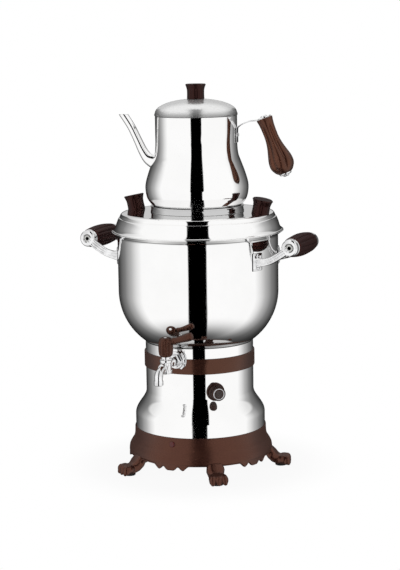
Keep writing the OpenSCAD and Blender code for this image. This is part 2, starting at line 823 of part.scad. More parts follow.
module thermostat_knob() {
    back = neck_r + bezel_t + dial_gap;
    color("#3a2a24") at_az(thermostat_az, back, thermostat_z) rotate([90, 0, 0])
        difference() {
            union() {
                rotate_extrude() polygon([[0, 0], [dial_r, 0], [dial_r, 1.5],
                    [dial_r - 0.7, 2.6], [dial_r - 0.9, dial_h - 1.4],
                    [dial_r - 1.8, dial_h], [0, dial_h]]);
                translate([0, dial_r - 1, 0]) cylinder(h = 2, r = 2.2);
            }
            translate([0, 0, -over]) cylinder(h = over + dial_h - 4 + fit, r = shaft_r + fit);
            translate([0, 0, dial_h - ring_t])
                difference() {
                    cylinder(h = over, r = dial_r - 2.2 + fit);
                    translate([0, 0, -over]) cylinder(h = 3 * over, r = dial_r - 2.2 - ring_w);
                }
        }
}

module thermostat_knob_ring() {
    front = neck_r + bezel_t + dial_gap + dial_h;
    color("#cfcfcf") at_az(thermostat_az, front - ring_t, thermostat_z) rotate([90, 0, 0])
        difference() {
            cylinder(h = ring_t + 0.4, r = dial_r - 2.2);
            translate([0, 0, -over]) cylinder(h = 3 * over, r = dial_r - 2.2 - ring_w + fit);
        }
}

module pilot_lamp_lens() {
    face = lamp_face();
    color("#8c1414") at_az(0, face - 4, lamp_z) rotate([90, 0, 0]) union() {
        cylinder(h = 4.6, r = lamp_r);
        translate([0, 0, 4.6]) intersection() {
            translate([0, 0, -lamp_r * 1.2]) sphere(r = lamp_r * 1.56);
            cylinder(h = over, r = lamp_r);
        }
    }
}

// outer radius of the base ring at the lamp's height
function lamp_face() = max([for (q = ring_line()) if (q[1] >= lamp_z) q[0]]);

module pilot_lamp_body() {
    color("#d8d4c8") at_az(0, lamp_face() - 4 - lamp_body_l, lamp_z)
        outward(lamp_body_l, lamp_r - 0.4);
}

module inlet_screw_places() {
    for (s = [-1, 1])
        at_az(inlet_az, 0, 0) translate([s * (inlet_w / 2 + 4), -shell_r, inlet_z])
            children();
}

module power_inlet() {
    color("#1c1c1c") at_az(inlet_az, 0, inlet_z) difference() {
        union() {
            difference() {
                translate([-inlet_w / 2 - 8, -shell_r - inlet_t, -inlet_h / 2])
                    cube([inlet_w + 16, inlet_t + 8, inlet_h]);
                translate([0, 0, -50]) cylinder(h = 100, r = shell_r + fit);
            }
            translate([-inlet_box_w / 2, -shell_r - 1, -inlet_box_h / 2])
                cube([inlet_box_w, inlet_depth + 1, inlet_box_h]);
        }
        translate([-10.5, -shell_r - inlet_t - 1, -6.5]) cube([21, 15 + inlet_t + 1, 13]);
        for (p = pin_spots()) translate([p[0], -shell_r + over, p[1]])
            rotate([-90, 0, 0]) cylinder(h = 30, r = 1.2 + fit);
        for (s = [-1, 1]) translate([s * (inlet_w / 2 + 4), -shell_r + 2 * over, 0])
            outward(4 * over, screw_r + fit);
    }
}

function pin_spots() = [[-7, -1.5], [0, 2], [7, -1.5]];

module inlet_pins() {
    color("#c8b070") at_az(inlet_az, 0, inlet_z)
        for (p = pin_spots()) translate([p[0], -shell_r + 1, p[1]])
            rotate([-90, 0, 0]) cylinder(h = inlet_depth + 6, r = 1.2);
}

module inlet_screws() {
    color("#c0c0c0") inlet_screw_places() translate([0, 7, 0]) rotate([90, 0, 0])
        union() {
            cylinder(h = 7 + inlet_t, r = screw_r);
            translate([0, 0, 7 + inlet_t]) cylinder(h = 1.6, r = screw_head_r - 0.4);
        }
}

// rings of a tube along a path in space
function lead_ring(p, i, r, n) = let (t = heading(p, i), u = unit(cross(t, [0.3, 0.9, 0.2])),
    v = cross(t, u)) [for (k = [0 : n - 1])
        p[i] + r * cos(360 * k / n) * u + r * sin(360 * k / n) * v];

function around(az, r, z) = [r * sin(az), -r * cos(az), z];
// a point behind one of the inlet's pins
function pin_back(x, r, z) = [r * sin(inlet_az) + x * cos(inlet_az),
    x * sin(inlet_az) - r * cos(inlet_az), z];

// a path with rounded corners and straight ends
function bent(k, n) = let (m = len(k) - 1) concat([k[0]],
    [for (i = [1 : m - 1], j = [0 : n - 1])
        let (a = (k[i - 1] + k[i]) / 2, c = (k[i] + k[i + 1]) / 2, t = j / n)
        pow(1 - t, 2) * a + 2 * t * (1 - t) * k[i] + t * t * c],
    [(k[m - 1] + k[m]) / 2, k[m]]);

// one insulated lead
module lead(knots) {
    p = bent(knots, 6);
    skin([for (i = [0 : len(p) - 1]) lead_ring(p, i, wire_r, 8)]);
}

module wiring() {
    back = shell_r - 1 - inlet_depth - 6.3;
    low = inlet_z - 1.5;
    leg = tank_z - element_tail - gap;
    body = thermostat_z - body_w / 2 - gap;
    run = 8;
    color("#a03028") {
        lead([pin_back(-7, back, low), pin_back(-7, back - run, low), around(110, 50, low + 2),
            around(70, 52, body - 26), around(46, 65, body - run), around(46, 65, body)]);
        lead([pin_back(7, back, low), pin_back(7, back - run, low), around(205, 46, low + 18),
            [-element_x, element_y, leg - run], [-element_x, element_y, leg]]);
        lead([around(37, 65, body), around(37, 65, body - run), around(62, 40, body - 6),
            around(100, 32, leg - 22), [element_x, element_y, leg - run],
            [element_x, element_y, leg]]);
    }
}

// ---------- side handles ----------

module handle_pads() {
    for (s = [-1, 1], t = [-1, 1]) rotate([0, 0, s * 90 + t * pad_az()])
        translate([0, -tank_r, pad_z]) children();
}

// azimuth of a bracket's pad off the handle's own azimuth
function pad_az() = asin(arm_y / tank_r);

module rivet_holes() {
    for (d = [-1, 1]) translate([0, over, d * rivet_dz]) outward(2 * over, rivet_r + fit);
}

module handle_rivets() {
    color("#c4c4c4") handle_pads() for (d = [-1, 1])
        translate([0, tank_wall + 1.4, d * rivet_dz]) rotate([90, 0, 0]) union() {
            cylinder(h = 1.4 - gap / 2, r = rivet_r + 1.6);
            cylinder(h = tank_wall + pad_t + 1.4 + 0.9, r = rivet_r);
            translate([0, 0, tank_wall + pad_t + 1.4 + fit]) cylinder(h = 1, r = rivet_r + 1);
        }
}

function arm_line() = let (x0 = tank_r - 9, x1 = grip_x - boss_r * 0.7, z0 = pad_z - 0.5) [
    [x0, z0 - 6], [x0 + 12, z0 - 5.2], [x0 + 24, z0 - 1.6], [x1, grip_z - 12.4],
    [grip_x, grip_z - 8], [grip_x - 4, grip_z + 4], [x1 - 3, grip_z - 1.5],
    [x0 + 22, z0 + 8.6], [x0 + 11, z0 + 6], [x0, z0 + 5.6]];

module handle_arm(s) {
    // one bracket on the +X side, on the s side of the handle
    difference() {
        union() {
            translate([0, s * arm_y + arm_w / 2, 0]) rotate([90, 0, 0])
                linear_extrude(arm_w) polygon(arm_line());
            translate([grip_x, s * arm_y + arm_w / 2, grip_z]) rotate([90, 0, 0])
                cylinder(h = arm_w, r = boss_r);
            translate([grip_x, s * (arm_y - arm_w / 2) + ferrule_t / 2, grip_z])
                rotate([90, 0, 0]) cylinder(h = ferrule_t, r = boss_r + 0.6);
            intersection() {
                rotate([0, 0, 90 + s * pad_az()])
                    translate([-pad_w / 2, -tank_r - 8, pad_z - pad_tall / 2])
                        cube([pad_w, 16, pad_tall]);
                translate([0, 0, pad_z - 40]) cylinder(h = 80, r = tank_r + pad_t);
            }
        }
        translate([0, 0, pad_z - 60]) cylinder(h = 120, r = tank_r + fit);
        translate([grip_x, s * arm_y + 3 * over, grip_z]) rotate([90, 0, 0])
            cylinder(h = 6 * over, r = rod_r + fit);
        translate([grip_x, s * (arm_y + arm_w / 2 - cap_sink), grip_z])
            rotate([s * -90, 0, 0]) cylinder(h = over, r = cap_r + fit);
        rotate([0, 0, 90 + s * pad_az()]) translate([0, -tank_r, pad_z]) {
            rivet_holes();
            for (d = [-1, 1])
                translate([0, -pad_t + fit, d * rivet_dz]) outward(6 * over, rivet_r + 1 + fit);
        }
    }
}

module handle_arms() {
    for (s = [-1, 1]) handle_arm(s);
}

module left_handle_arms() {
    color("#d4d4d6") mirror([1, 0, 0]) handle_arms();
}

module right_handle_arms() {
    color("#d4d4d6") handle_arms();
}

function grip_line() = let (l = grip_half - ferrule_t / 2) concat(
    [[grip_end_r, -l]],
    [for (i = [1 : 15]) let (u = i / 8 - 1)
        [grip_end_r + (grip_r - grip_end_r) * pow(cos(90 * u), 0.8), l * u]],
    [[grip_end_r, l]]);

module handle_grip() {
    l = grip_half - ferrule_t / 2;
    translate([grip_x, 0, grip_z]) rotate([-90, 0, 0]) difference() {
        turned(concat([[0, -l]], grip_line(), [[0, l]]));
        translate([0, 0, -l - over]) cylinder(h = 2 * (l + over), r = rod_r + fit);
    }
}

module left_handle_grip() {
    color("#4a2f2a") mirror([1, 0, 0]) handle_grip();
}

module right_handle_grip() {
    color("#4a2f2a") handle_grip();
}

module handle_rods() {
    l = arm_y + arm_w / 2 - cap_sink - 0.5;
    color("#b0b0b0") for (s = [-1, 1])
        translate([s * grip_x, l, grip_z]) rotate([90, 0, 0]) cylinder(h = 2 * l, r = rod_r);
}

module handle_end_screws() {
    color("#6a6a6a") for (s = [-1, 1], t = [-1, 1])
        translate([s * grip_x, t * (arm_y + arm_w / 2 - cap_sink + fit), grip_z])
            rotate([t * -90, 0, 0]) difference() {
                cylinder(h = cap_sink - 0.6, r = cap_r);
                translate([0, 0, 0.6]) cylinder(h = over, r = 2.6, $fn = 6);
            }
}

// ---------- lid ----------

function lid_line() = concat(
    [[lid_edge_r, lid_z], [lid_edge_r, lid_z + 0.4], [lid_edge_r - 2.1, lid_z + 1.8]],
    [[lid_seam_r + 6, lid_z + 5], [lid_seam_r + 4, lid_z + lid_skirt_h * 0.6],
     [lid_seam_r + 1.2, lid_seam_z - 0.8], [lid_seam_r, lid_seam_z - 0.8],
     [lid_seam_r - 0.5, lid_seam_z], [lid_seam_r - 1.2, lid_seam_z + lid_crown_h * 0.45],
     [lid_seam_r - 3.2, lid_seam_z + lid_crown_h * 0.8],
     [lid_seam_r - 7, lid_top_z - 0.2], [lid_seam_r - 14, lid_top_z], [steam_r, lid_top_z]]);

module knob_place(s) {
    translate([s * lid_knob_x, 0, lid_top_z]) rotate([0, s * lid_knob_lean, 0]) children();
}

module main_lid() {
    color("#dcdcde") difference() {
        spun_sheet(lid_line(), lid_wall);
        for (s = [-1, 1]) knob_place(s) translate([0, 0, -over])
            cylinder(h = 2 * over, r = screw_r + fit);
    }
}

module lid_locating_ring() {
    r = tank_r - tank_wall - 0.8;
    out = lid_seam_r + 4.2;
    color("#c8c8ca") turned([[r, rim_z - 12], [r, lid_z + 4], [out, lid_z + 4],
        [out, lid_z + 4.8], [r - 0.8, lid_z + 4.8], [r - 0.8, rim_z - 12]]);
}

module lid_collar() {
    color("#d8d8da") turned([[steam_r + 1, lid_top_z + fit], [collar_r, lid_top_z + fit],
        [collar_r, collar_top_z - 1], [collar_r - 1, collar_top_z],
        [steam_r + 1, collar_top_z], [steam_r + 1, collar_top_z - 1],
        [collar_r - 1, collar_top_z - 1], [collar_r - 1, lid_top_z + fit + 1],
        [steam_r + 1, lid_top_z + fit + 1]]);
}

function knob_line(flare) = smooth([[knob_body_r * 0.98, 0], [knob_body_r * 0.96, knob_h * 0.3],
    [knob_body_r * 0.98, knob_h * 0.62], [knob_top_r - 0.7, knob_h * 0.86],
    [knob_top_r, knob_h - 1.3], [knob_top_r - 1, knob_h]], 4);

module knob() {
    difference() {
        turned(concat([[0, 0]], knob_line(), [[0, knob_h]]));
        translate([0, 0, -over]) cylinder(h = over + knob_h * 0.6, r = screw_r + fit);
    }
}

module knob_screw(wall) {
    translate([0, 0, -wall - fit]) pan_screw(screw_r, wall + knob_h * 0.55, screw_head_r + 1,
        screw_head_t - 1);
}

module lid_knob(s) {
    color("#33211d") difference() {
        knob_place(s) translate([0, 0, -2]) union() {
            translate([0, 0, 2]) knob();
            difference() {
                cylinder(h = 2 + eps, r = knob_body_r * 0.98);
                translate([0, 0, -over]) cylinder(h = 3 * over, r = screw_r + fit);
            }
        }
        translate([0, 0, lid_top_z + fit - 40]) cylinder(h = 40, r = 2 * tank_r);
    }
}

module left_lid_knob() {
    lid_knob(-1);
}

module right_lid_knob() {
    lid_knob(1);
}

module lid_knob_screws() {
    color("#c0c0c0") for (s = [-1, 1]) knob_place(s) knob_screw(lid_wall + 1.1);
}

// ---------- teapot ----------

function pot_line() = smooth([[0.9 * pot_belly_r - 3, 0], [0.9 * pot_belly_r, 2.6],
    [0.972 * pot_belly_r, 11], [pot_belly_r, 23], [0.985 * pot_belly_r, 33],
    [0.93 * pot_belly_r, 46], [pot_neck_r + 5.4, 58], [pot_neck_r + 1.4, 69],
    [pot_neck_r, 82], [pot_neck_r, pot_h]], 4);

module in_pot_frame() {
    rotate([0, 0, pot_turn]) translate([0, 0, pot_z]) children();
}

module teapot_body() {
    outer = concat([[0, 0]], pot_line());
    inner = beside(outer, pot_wall);
    color("#dcdcde") in_pot_frame() difference() {
        turned(concat(outer, flip([for (i = [1 : len(inner) - 1])
            if (inner[i][1] > pot_wall) inner[i]]), [[0, pot_wall]]));
        translate([spout_root()[0] + 4, 0, spout_root()[1] - 1]) rotate([0, -70, 0])
            cylinder(h = 20, r = 5.5);
        strap_rivet_places() rotate([0, -90, 0]) translate([0, 0, -over])
            cylinder(h = 2 * over, r = rivet_r - 0.5 + fit);
    }
}

function spout_root() = [-pot_neck_r - 5.5, 60];

// the spout's centre line in its own plane, from root to mouth
function spout_path() = smooth([[-pot_neck_r - 2, 57], [-pot_neck_r - 12, 63],
    [-pot_neck_r - 19.5, 74], [-pot_neck_r - 27, 90], [-pot_neck_r - 35.5, 107.5],
    [-pot_spout_x, mouth_z], [-pot_spout_x - 4, mouth_z + 6]], 3);

function spout_radius(t) = 5.3 + 4.6 * pow(1 - t, 3.5) + 0.6 * pow(t, 4);

// rings of a tube along a path in the XZ plane
function tube_ring(p, i, r, n) = let (t = heading(p, i))
    [for (k = [0 : n - 1]) let (a = 360 * k / n)
        [p[i][0] - t[1] * r * cos(a), r * sin(a), p[i][1] + t[0] * r * cos(a)]];

module tube(p, radii, n) {
    skin([for (i = [0 : len(p) - 1]) tube_ring(p, i, radii[i], n)]);
}

module teapot_spout() {
    p = spout_path();
    m = len(p) - 1;
    outer = [for (i = [0 : m]) spout_radius(i / m)];
    inner = [for (i = [0 : m]) spout_radius(i / m) - 1.3];
    reach = concat([p[0] - 6 * heading(p, 0)], [for (i = [1 : m - 1]) p[i]],
        [p[m] + 4 * heading(p, m)]);
    color("#d8d8da") in_pot_frame() difference() {
        tube(p, outer, 20);
        tube(reach, inner, 20);
        inside_of(pot_line(), fit);
        translate([-2 * pot_spout_x, -over, mouth_z]) cube([2 * pot_spout_x, 2 * over, 3 * over]);
    }
}

module strap_rivet_places() {
    for (d = [-1, 1]) rotate([0, 0, 4.2 * d])
        translate([pot_neck_r, 0, strap_plate_z - pot_z]) children();
}

// a point over the pear grip's top face, at u from its centre towards the pot
function over_pear(u) = let (h = gap + eye_t / 2)
    [pear_x - u * cos(pear_lean) - h * sin(pear_lean),
     pear_z - pot_z - u * sin(pear_lean) + h * cos(pear_lean)];

function strap_line() = let (x = pot_neck_r + strap_t / 2 + fit, z = strap_plate_z - pot_z)
    smooth([[x, z - strap_plate_h / 2], [x, z + strap_plate_h / 2 - 3],
    [x + 1.6, z + strap_plate_h / 2 + 0.8], [x + 6.5, z + strap_plate_h / 2 + 4.4],
    over_pear(11.5) - [10, 1.2], over_pear(11.5), over_pear(5)], 4);

module teapot_strap() {
    p = strap_line();
    r = strap_t / 2;
    color("#cfcfd2") in_pot_frame() difference() {
        union() {
            translate([0, strap_w / 2, 0]) rotate([90, 0, 0]) linear_extrude(strap_w)
                polygon(concat(beside(p, r), flip(beside(p, -r))));
            pear_frame() translate([0, 0, gap]) cylinder(h = eye_t, r = eye_r);
        }
        inside_of(pot_line(), fit);
        strap_rivet_places() rotate([0, -90, 0]) translate([0, 0, -over])
            cylinder(h = 2 * over, r = rivet_r - 0.5 + fit);
        pear_frame() translate([0, 0, -over]) cylinder(h = 3 * over, r = pear_bolt_r + fit);
    }
}

module teapot_strap_rivets() {
    back = pot_wall + 1.2;
    color("#c4c4c4") in_pot_frame() strap_rivet_places() rotate([0, 90, 0]) union() {
        translate([0, 0, -back]) cylinder(h = 1, r = rivet_r + 1);
        translate([0, 0, -back + 0.5]) cylinder(h = back + strap_t + 0.6, r = rivet_r - 0.5);
        translate([0, 0, strap_t + gap + fit]) cylinder(h = 0.8, r = rivet_r + 1);
    }
}

// the pear grip hangs from its top end: local +Z runs from bottom to top
module pear_frame() {
    translate([pear_x, 0, pear_z - pot_z]) rotate([0, -pear_lean, 0]) children();
}

function pear_line() = let (l = pear_l) smooth([[9, pear_cap_t - l], [12.6, 6 - l],
    [pear_r * 0.95, 12 - l], [pear_r, 18 - l], [pear_r * 0.95, 25 - l], [pear_r * 0.8, 34 - l],
    [pear_r * 0.66, 43 - l], [pear_r * 0.565, 54 - l], [pear_r * 0.565, -15],
    [pear_r * 0.6, -6], [pear_r * 0.66, 0]], 4);

module teapot_grip() {
    color("#6a3d2f") in_pot_frame() pear_frame() difference() {
        turned(concat([[0, pear_cap_t - pear_l]], pear_line(), [[0, 0]]));
        translate([0, 0, -pear_l - over]) cylinder(h = pear_l + 2 * over, r = pear_bolt_r + fit);
    }
}

module teapot_grip_cap() {
    color("#c4c4c6") in_pot_frame() pear_frame() translate([0, 0, -pear_l]) difference() {
        union() {
            translate([0, 0, 1]) cylinder(h = pear_cap_t - 1 - fit, r = 8.6);
            cylinder(h = 1 + eps, r1 = 6, r2 = 8.6);
        }
        translate([0, 0, -over]) cylinder(h = 3 * over, r = pear_bolt_r + fit);
    }
}

module teapot_grip_bolt() {
    color("#b8b8b8") in_pot_frame() pear_frame() union() {
        translate([0, 0, -pear_l - 1]) cylinder(h = pear_l + 2 + gap + eye_t, r = pear_bolt_r);
        translate([0, 0, -pear_l - 2]) cylinder(h = 2 - fit, r = 4.4);
        translate([0, 0, gap + eye_t + fit]) cylinder(h = 2, r = 4.4);
    }
}

function dome_arc(r, h, n0) = [for (i = [n0 : 11]) let (a = 90 * i / 12)
    [r * cos(a), pot_lid_rim_h + h * pow(sin(a), 0.94)]];

module teapot_lid() {
    r = pot_neck_r - pot_wall - 0.6;
    top = pot_lid_rim_h + dome_h;
    color("#dcdcde") in_pot_frame() translate([0, 0, pot_h + gap]) difference() {
        turned(concat([[r, -pot_rim_drop], [r, 0], [pot_lid_r, 0], [pot_lid_r, pot_lid_rim_h]],
            dome_arc(pot_lid_r - 0.8, dome_h, 1), [[0, top], [0, top - pot_wall]],
            flip(dome_arc(pot_lid_r - 0.8 - pot_wall, dome_h - pot_wall, 3)),
            [[r - 0.9, pot_lid_rim_h + 2.5], [r - 0.9, -pot_rim_drop]]));
        translate([0, 0, top - over]) cylinder(h = 2 * over, r = screw_r + fit);
        translate([pot_neck_r * 0.62, 0, 0]) cylinder(h = 2 * dome_h, r = 1.2);
    }
}

module on_dome() {
    in_pot_frame() translate([0, 0, pot_h + gap + pot_lid_rim_h + dome_h]) children();
}

module teapot_lid_knob() {
    color("#33211d") on_dome() translate([0, 0, fit]) knob();
}

module teapot_lid_screw() {
    color("#c0c0c0") on_dome() knob_screw(pot_wall + 0.15);
}

// ---------- the parts ----------

base_ring();
feet();
foot_pads();
foot_screws();
bottom_plate();
bottom_screws();
pedestal_shell();
neck_band();
tank();
tie_rod();
tie_rod_nut();
outlet_elbow();
outlet_nut();
tap_body();
tap_flange();
tap_gasket();
tap_lock_nut();
tap_plug();
tap_handle();
tap_handle_screw();
heating_element();
element_nuts();
element_gaskets();
thermal_cutout();
thermostat_body();
thermostat_nut();
thermostat_bezel();
thermostat_shaft();
thermostat_knob();
thermostat_knob_ring();
pilot_lamp_lens();
pilot_lamp_body();
power_inlet();
inlet_pins();
inlet_screws();
wiring();
left_handle_arms();
right_handle_arms();
left_handle_grip();
right_handle_grip();
handle_rods();
handle_end_screws();
handle_rivets();
main_lid();
lid_locating_ring();
lid_collar();
left_lid_knob();
right_lid_knob();
lid_knob_screws();
teapot_body();
teapot_spout();
teapot_strap();
teapot_strap_rivets();
teapot_grip();
teapot_grip_cap();
teapot_grip_bolt();
teapot_lid();
teapot_lid_knob();
teapot_lid_screw();
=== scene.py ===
"""Looks of the electric samovar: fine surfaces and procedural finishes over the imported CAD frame.

Sizes of pieces are in millimetres, as in the part's source. Meshes, finishes and the studio are
in metres.
"""

import functools
import logging
import math
from dataclasses import dataclass
from enum import Enum
from typing import Optional, Sequence, Union

import bmesh
import bpy
import numpy as np
from mathutils import Matrix, Vector


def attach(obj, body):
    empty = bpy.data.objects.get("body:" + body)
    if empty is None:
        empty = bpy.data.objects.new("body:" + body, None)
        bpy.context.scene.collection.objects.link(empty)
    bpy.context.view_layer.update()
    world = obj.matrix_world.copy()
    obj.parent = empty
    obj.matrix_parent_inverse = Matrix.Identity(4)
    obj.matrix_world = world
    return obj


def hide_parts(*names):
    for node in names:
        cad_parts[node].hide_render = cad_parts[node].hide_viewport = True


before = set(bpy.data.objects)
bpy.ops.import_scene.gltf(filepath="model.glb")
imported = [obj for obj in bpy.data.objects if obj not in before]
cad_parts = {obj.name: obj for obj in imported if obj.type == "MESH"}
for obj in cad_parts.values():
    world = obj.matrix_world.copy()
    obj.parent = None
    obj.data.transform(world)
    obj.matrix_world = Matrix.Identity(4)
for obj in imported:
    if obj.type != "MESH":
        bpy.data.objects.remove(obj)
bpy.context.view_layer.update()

LOG = logging.getLogger("samovar")
MM = 0.001
Point2 = tuple[float, float]
Point3 = tuple[float, float, float]
Colour = tuple[float, float, float]
Outline = list[Point2]


# ---------------------------------------------------------------- node graphs

class Val:
    """A number carried by a socket; arithmetic on it adds Math nodes."""

    def __init__(self, graph: "Graph", socket: bpy.types.NodeSocket) -> None:
        """Keeps the socket and the graph that it belongs to."""
        self.graph = graph
        self.socket = socket

    def __add__(self, other: "Number") -> "Val":
        """self + other."""
        return self.graph.math("ADD", self, other)

    def __mul__(self, other: "Number") -> "Val":
        """self * other."""
        return self.graph.math("MULTIPLY", self, other)

    def __sub__(self, other: "Number") -> "Val":
        """self - other."""
        return self.graph.math("SUBTRACT", self, other)

    def __rsub__(self, other: "Number") -> "Val":
        """other - self."""
        return self.graph.math("SUBTRACT", other, self)

    def __truediv__(self, other: "Number") -> "Val":
        """self / other."""
        return self.graph.math("DIVIDE", self, other)

    def __pow__(self, other: "Number") -> "Val":
        """self to the power of other."""
        return self.graph.math("POWER", self, other)

    def __abs__(self) -> "Val":
        """The size of self without its sign."""
        return self.graph.math("ABSOLUTE", self)

    __radd__ = __add__
    __rmul__ = __mul__

    def between(self, low: "Number", high: "Number") -> "Val":
        """A smooth step of self, 0 at low and 1 at high."""
        node = self.graph.add("ShaderNodeMapRange", {"interpolation_type": "SMOOTHSTEP"},
                              {0: self, 1: low, 2: high})
        return Val(self.graph, node.outputs[0])


Number = Union[Val, float]
Feed = Union[Val, bpy.types.NodeSocket, float, int, bool, tuple, Vector, bpy.types.Material]


class Graph:
    """Adds nodes to one tree, of shader or of geometry nodes."""

    def __init__(self, tree: bpy.types.NodeTree) -> None:
        """Empties the tree and keeps it."""
        self.tree = tree
        tree.nodes.clear()

    def add(self, kind: str, settings: Optional[dict] = None,
            inputs: Optional[dict] = None) -> bpy.types.Node:
        """Adds one node.

        Args:
            kind: the node's type.
            settings: properties of the node, set first; "stops" fills a colour ramp.
            inputs: values or links by socket name or number.

        Returns:
            The new node.
        """
        node = self.tree.nodes.new(kind)
        for key, value in (settings or {}).items():
            if key == "stops":
                self._fill_ramp(node.color_ramp, value)
            else:
                setattr(node, key, value)
        for key, value in (inputs or {}).items():
            self.feed(node.inputs[key], value)
        return node

    def feed(self, socket: bpy.types.NodeSocket, value: Feed) -> None:
        """Links a socket to value, or sets it to value.

        Args:
            socket: the input to fill.
            value: a value, a socket or a plain number, colour or vector.
        """
        if isinstance(value, Val):
            value = value.socket
        if isinstance(value, bpy.types.NodeSocket):
            self.tree.links.new(value, socket)
        else:
            socket.default_value = value

    def math(self, operation: str, *operands: Number) -> Val:
        """The result of one Math node."""
        node = self.add("ShaderNodeMath", {"operation": operation}, dict(enumerate(operands)))
        return Val(self, node.outputs[0])

    def vector(self, operation: str, a: Feed, b: Feed) -> bpy.types.NodeSocket:
        """The vector that one Vector Math node gives."""
        return self.add("ShaderNodeVectorMath", {"operation": operation}, {0: a, 1: b}).outputs[0]

    def parts(self, vector: Feed) -> tuple[Val, Val, Val]:
        """The three numbers of a vector."""
        node = self.add("ShaderNodeSeparateXYZ", None, {0: vector})
        return Val(self, node.outputs[0]), Val(self, node.outputs[1]), Val(self, node.outputs[2])

    def mix(self, factor: Number, a: Feed, b: Feed) -> bpy.types.NodeSocket:
        """A colour between a and b."""
        node = self.add("ShaderNodeMix", {"data_type": "RGBA"},
                        {0: factor, 6: paint(a), 7: paint(b)})
        return node.outputs[2]

    def ramp(self, value: Number, stops: Sequence[tuple[float, float]]) -> Val:
        """A number read from grey stops, a list of (place from 0 to 1, level)."""
        node = self.add("ShaderNodeValToRGB", {"stops": stops}, {0: value})
        return Val(self, node.outputs[0])

    def coords(self, stretch: Point3 = (1, 1, 1), turn: Point3 = (0, 0, 0)) -> Feed:
        """Object coordinates, turned by angles in degrees and then stretched."""
        node = self.add("ShaderNodeTexCoord")
        return self.add("ShaderNodeMapping", None, {
            0: node.outputs["Object"], "Rotation": tuple(math.radians(a) for a in turn),
            "Scale": stretch}).outputs[0]

    def noise(self, where: Feed, scale: float, detail: float = 2, rough: float = 0.5) -> Val:
        """Soft noise between 0 and 1 at scale bumps a metre."""
        node = self.add("ShaderNodeTexNoise", None, {
            "Vector": where, "Scale": scale, "Detail": detail, "Roughness": rough})
        return Val(self, node.outputs[0])

    def bump(self, height: Number, depth: float) -> bpy.types.NodeSocket:
        """A normal tipped by height, which is worth depth in metres."""
        return self.add("ShaderNodeBump", None, {"Distance": depth, "Height": height}).outputs[0]

    @staticmethod
    def _fill_ramp(ramp: bpy.types.ColorRamp, stops: Sequence[tuple[float, float]]) -> None:
        """Sets a ramp's stops to grey levels.

        Args:
            ramp: the ramp.
            stops: place and level of each stop.
        """
        while len(ramp.elements) < len(stops):
            ramp.elements.new(0.5)
        for element, (place, level) in zip(ramp.elements, stops):
            element.position = place
            element.color = (level, level, level, 1)


def paint(value: Feed) -> Feed:
    """A colour of three numbers gets its fourth; anything else stays."""
    return (*value, 1) if isinstance(value, tuple) and len(value) == 3 else value


# ---------------------------------------------------------------- finishes

@dataclass(frozen=True)
class Finish:
    """A surface finish; dress() adds what is special to its kind.

    Attributes:
        name: a plain name for the material.
        colour: its main colour.
        roughness: its least roughness.
    """

    name: str
    colour: Colour
    roughness: float = 0.4

    def dress(self, g: Graph, shader: bpy.types.Node) -> None:
        """Fills the shader's sockets."""
        raise NotImplementedError

    def material(self) -> bpy.types.Material:
        """The material of this finish, made once."""
        return make_material(self)


@functools.lru_cache(maxsize=None)
def make_material(finish: Finish) -> bpy.types.Material:
    """Builds the node tree of a finish.

    Args:
        finish: the finish to build.

    Returns:
        Its material.
    """
    material = bpy.data.materials.new("finish_" + finish.name)
    material.use_nodes = True
    g = Graph(material.node_tree)
    shader = g.add("ShaderNodeBsdfPrincipled")
    finish.dress(g, shader)
    g.add("ShaderNodeOutputMaterial", None, {"Surface": shader.outputs[0]})
    return material


@dataclass(frozen=True)
class PolishedSheet(Finish):
    """Buffed stainless sheet: a near mirror with faint waves, wiping marks and fine scratches.

    Attributes:
        wave: depth of the waves, in metres.
        dim_from: height in metres below which the colour is darkened as painted shade.
        dim_to: height above which it isn't.
        dim: share of the colour that is left where it is darkened as painted shade.
        metal: how metallic the sheet is.
    """

    wave: float = 0.00012
    dim_from: float = -1.0
    dim_to: float = -0.9
    dim: float = 1.0
    metal: float = 1.0

    def dress(self, g: Graph, shader: bpy.types.Node) -> None:
        """Waves tip the normal, marks vary roughness; painted shade dims the sheet below a height.

        Args:
            g: the material's graph.
            shader: its Principled node.
        """
        place = g.coords()
        smear = g.noise(place, scale=14, detail=3, rough=0.6)
        marks = g.noise(g.coords(stretch=(1, 1, 0.12)), scale=900, rough=0.7)
        wave = g.noise(place, scale=17, detail=1)
        tint = tuple(c * 0.97 for c in self.colour)
        clean = g.mix(smear.between(0.35, 0.7), tint, self.colour)
        # painted shade: the colour is darkened low on the piece, under the tank's bowl and at the
        # teapot cover's rim
        dull = tuple(c * self.dim for c in self.colour)
        height = g.parts(place)[2].between(self.dim_from, self.dim_to)
        g.feed(shader.inputs["Base Color"], g.mix(height, dull, clean))
        shader.inputs["Metallic"].default_value = self.metal
        rough = self.roughness + 0.05 * smear.between(0.5, 0.75) + 0.02 * marks
        g.feed(shader.inputs["Roughness"], rough)
        g.feed(shader.inputs["Normal"], g.bump(wave + 0.004 * marks, self.wave))


@dataclass(frozen=True)
class Metal(Finish):
    """Plated, cast or turned metal with a fine tooth and dull spots.

    Attributes:
        scale: dull spots a metre.
        dull: how much rougher a spot is.
        tooth: depth of the tooth, in metres.
    """

    scale: float = 90
    dull: float = 0.15
    tooth: float = 0.00002

    def dress(self, g: Graph, shader: bpy.types.Node) -> None:
        """Spots vary colour and roughness, the tooth tips the normal.

        Args:
            g: the material's graph.
            shader: its Principled node.
        """
        place = g.coords()
        spots = g.noise(place, self.scale, detail=4, rough=0.6)
        tooth = g.noise(place, self.scale * 14)
        dark = tuple(c * 0.72 for c in self.colour)
        g.feed(shader.inputs["Base Color"], g.mix(spots.between(0.3, 0.62), dark, self.colour))
        shader.inputs["Metallic"].default_value = 1
        g.feed(shader.inputs["Roughness"], self.roughness + self.dull * spots.between(0.45, 0.75))
        g.feed(shader.inputs["Normal"], g.bump(tooth, self.tooth))


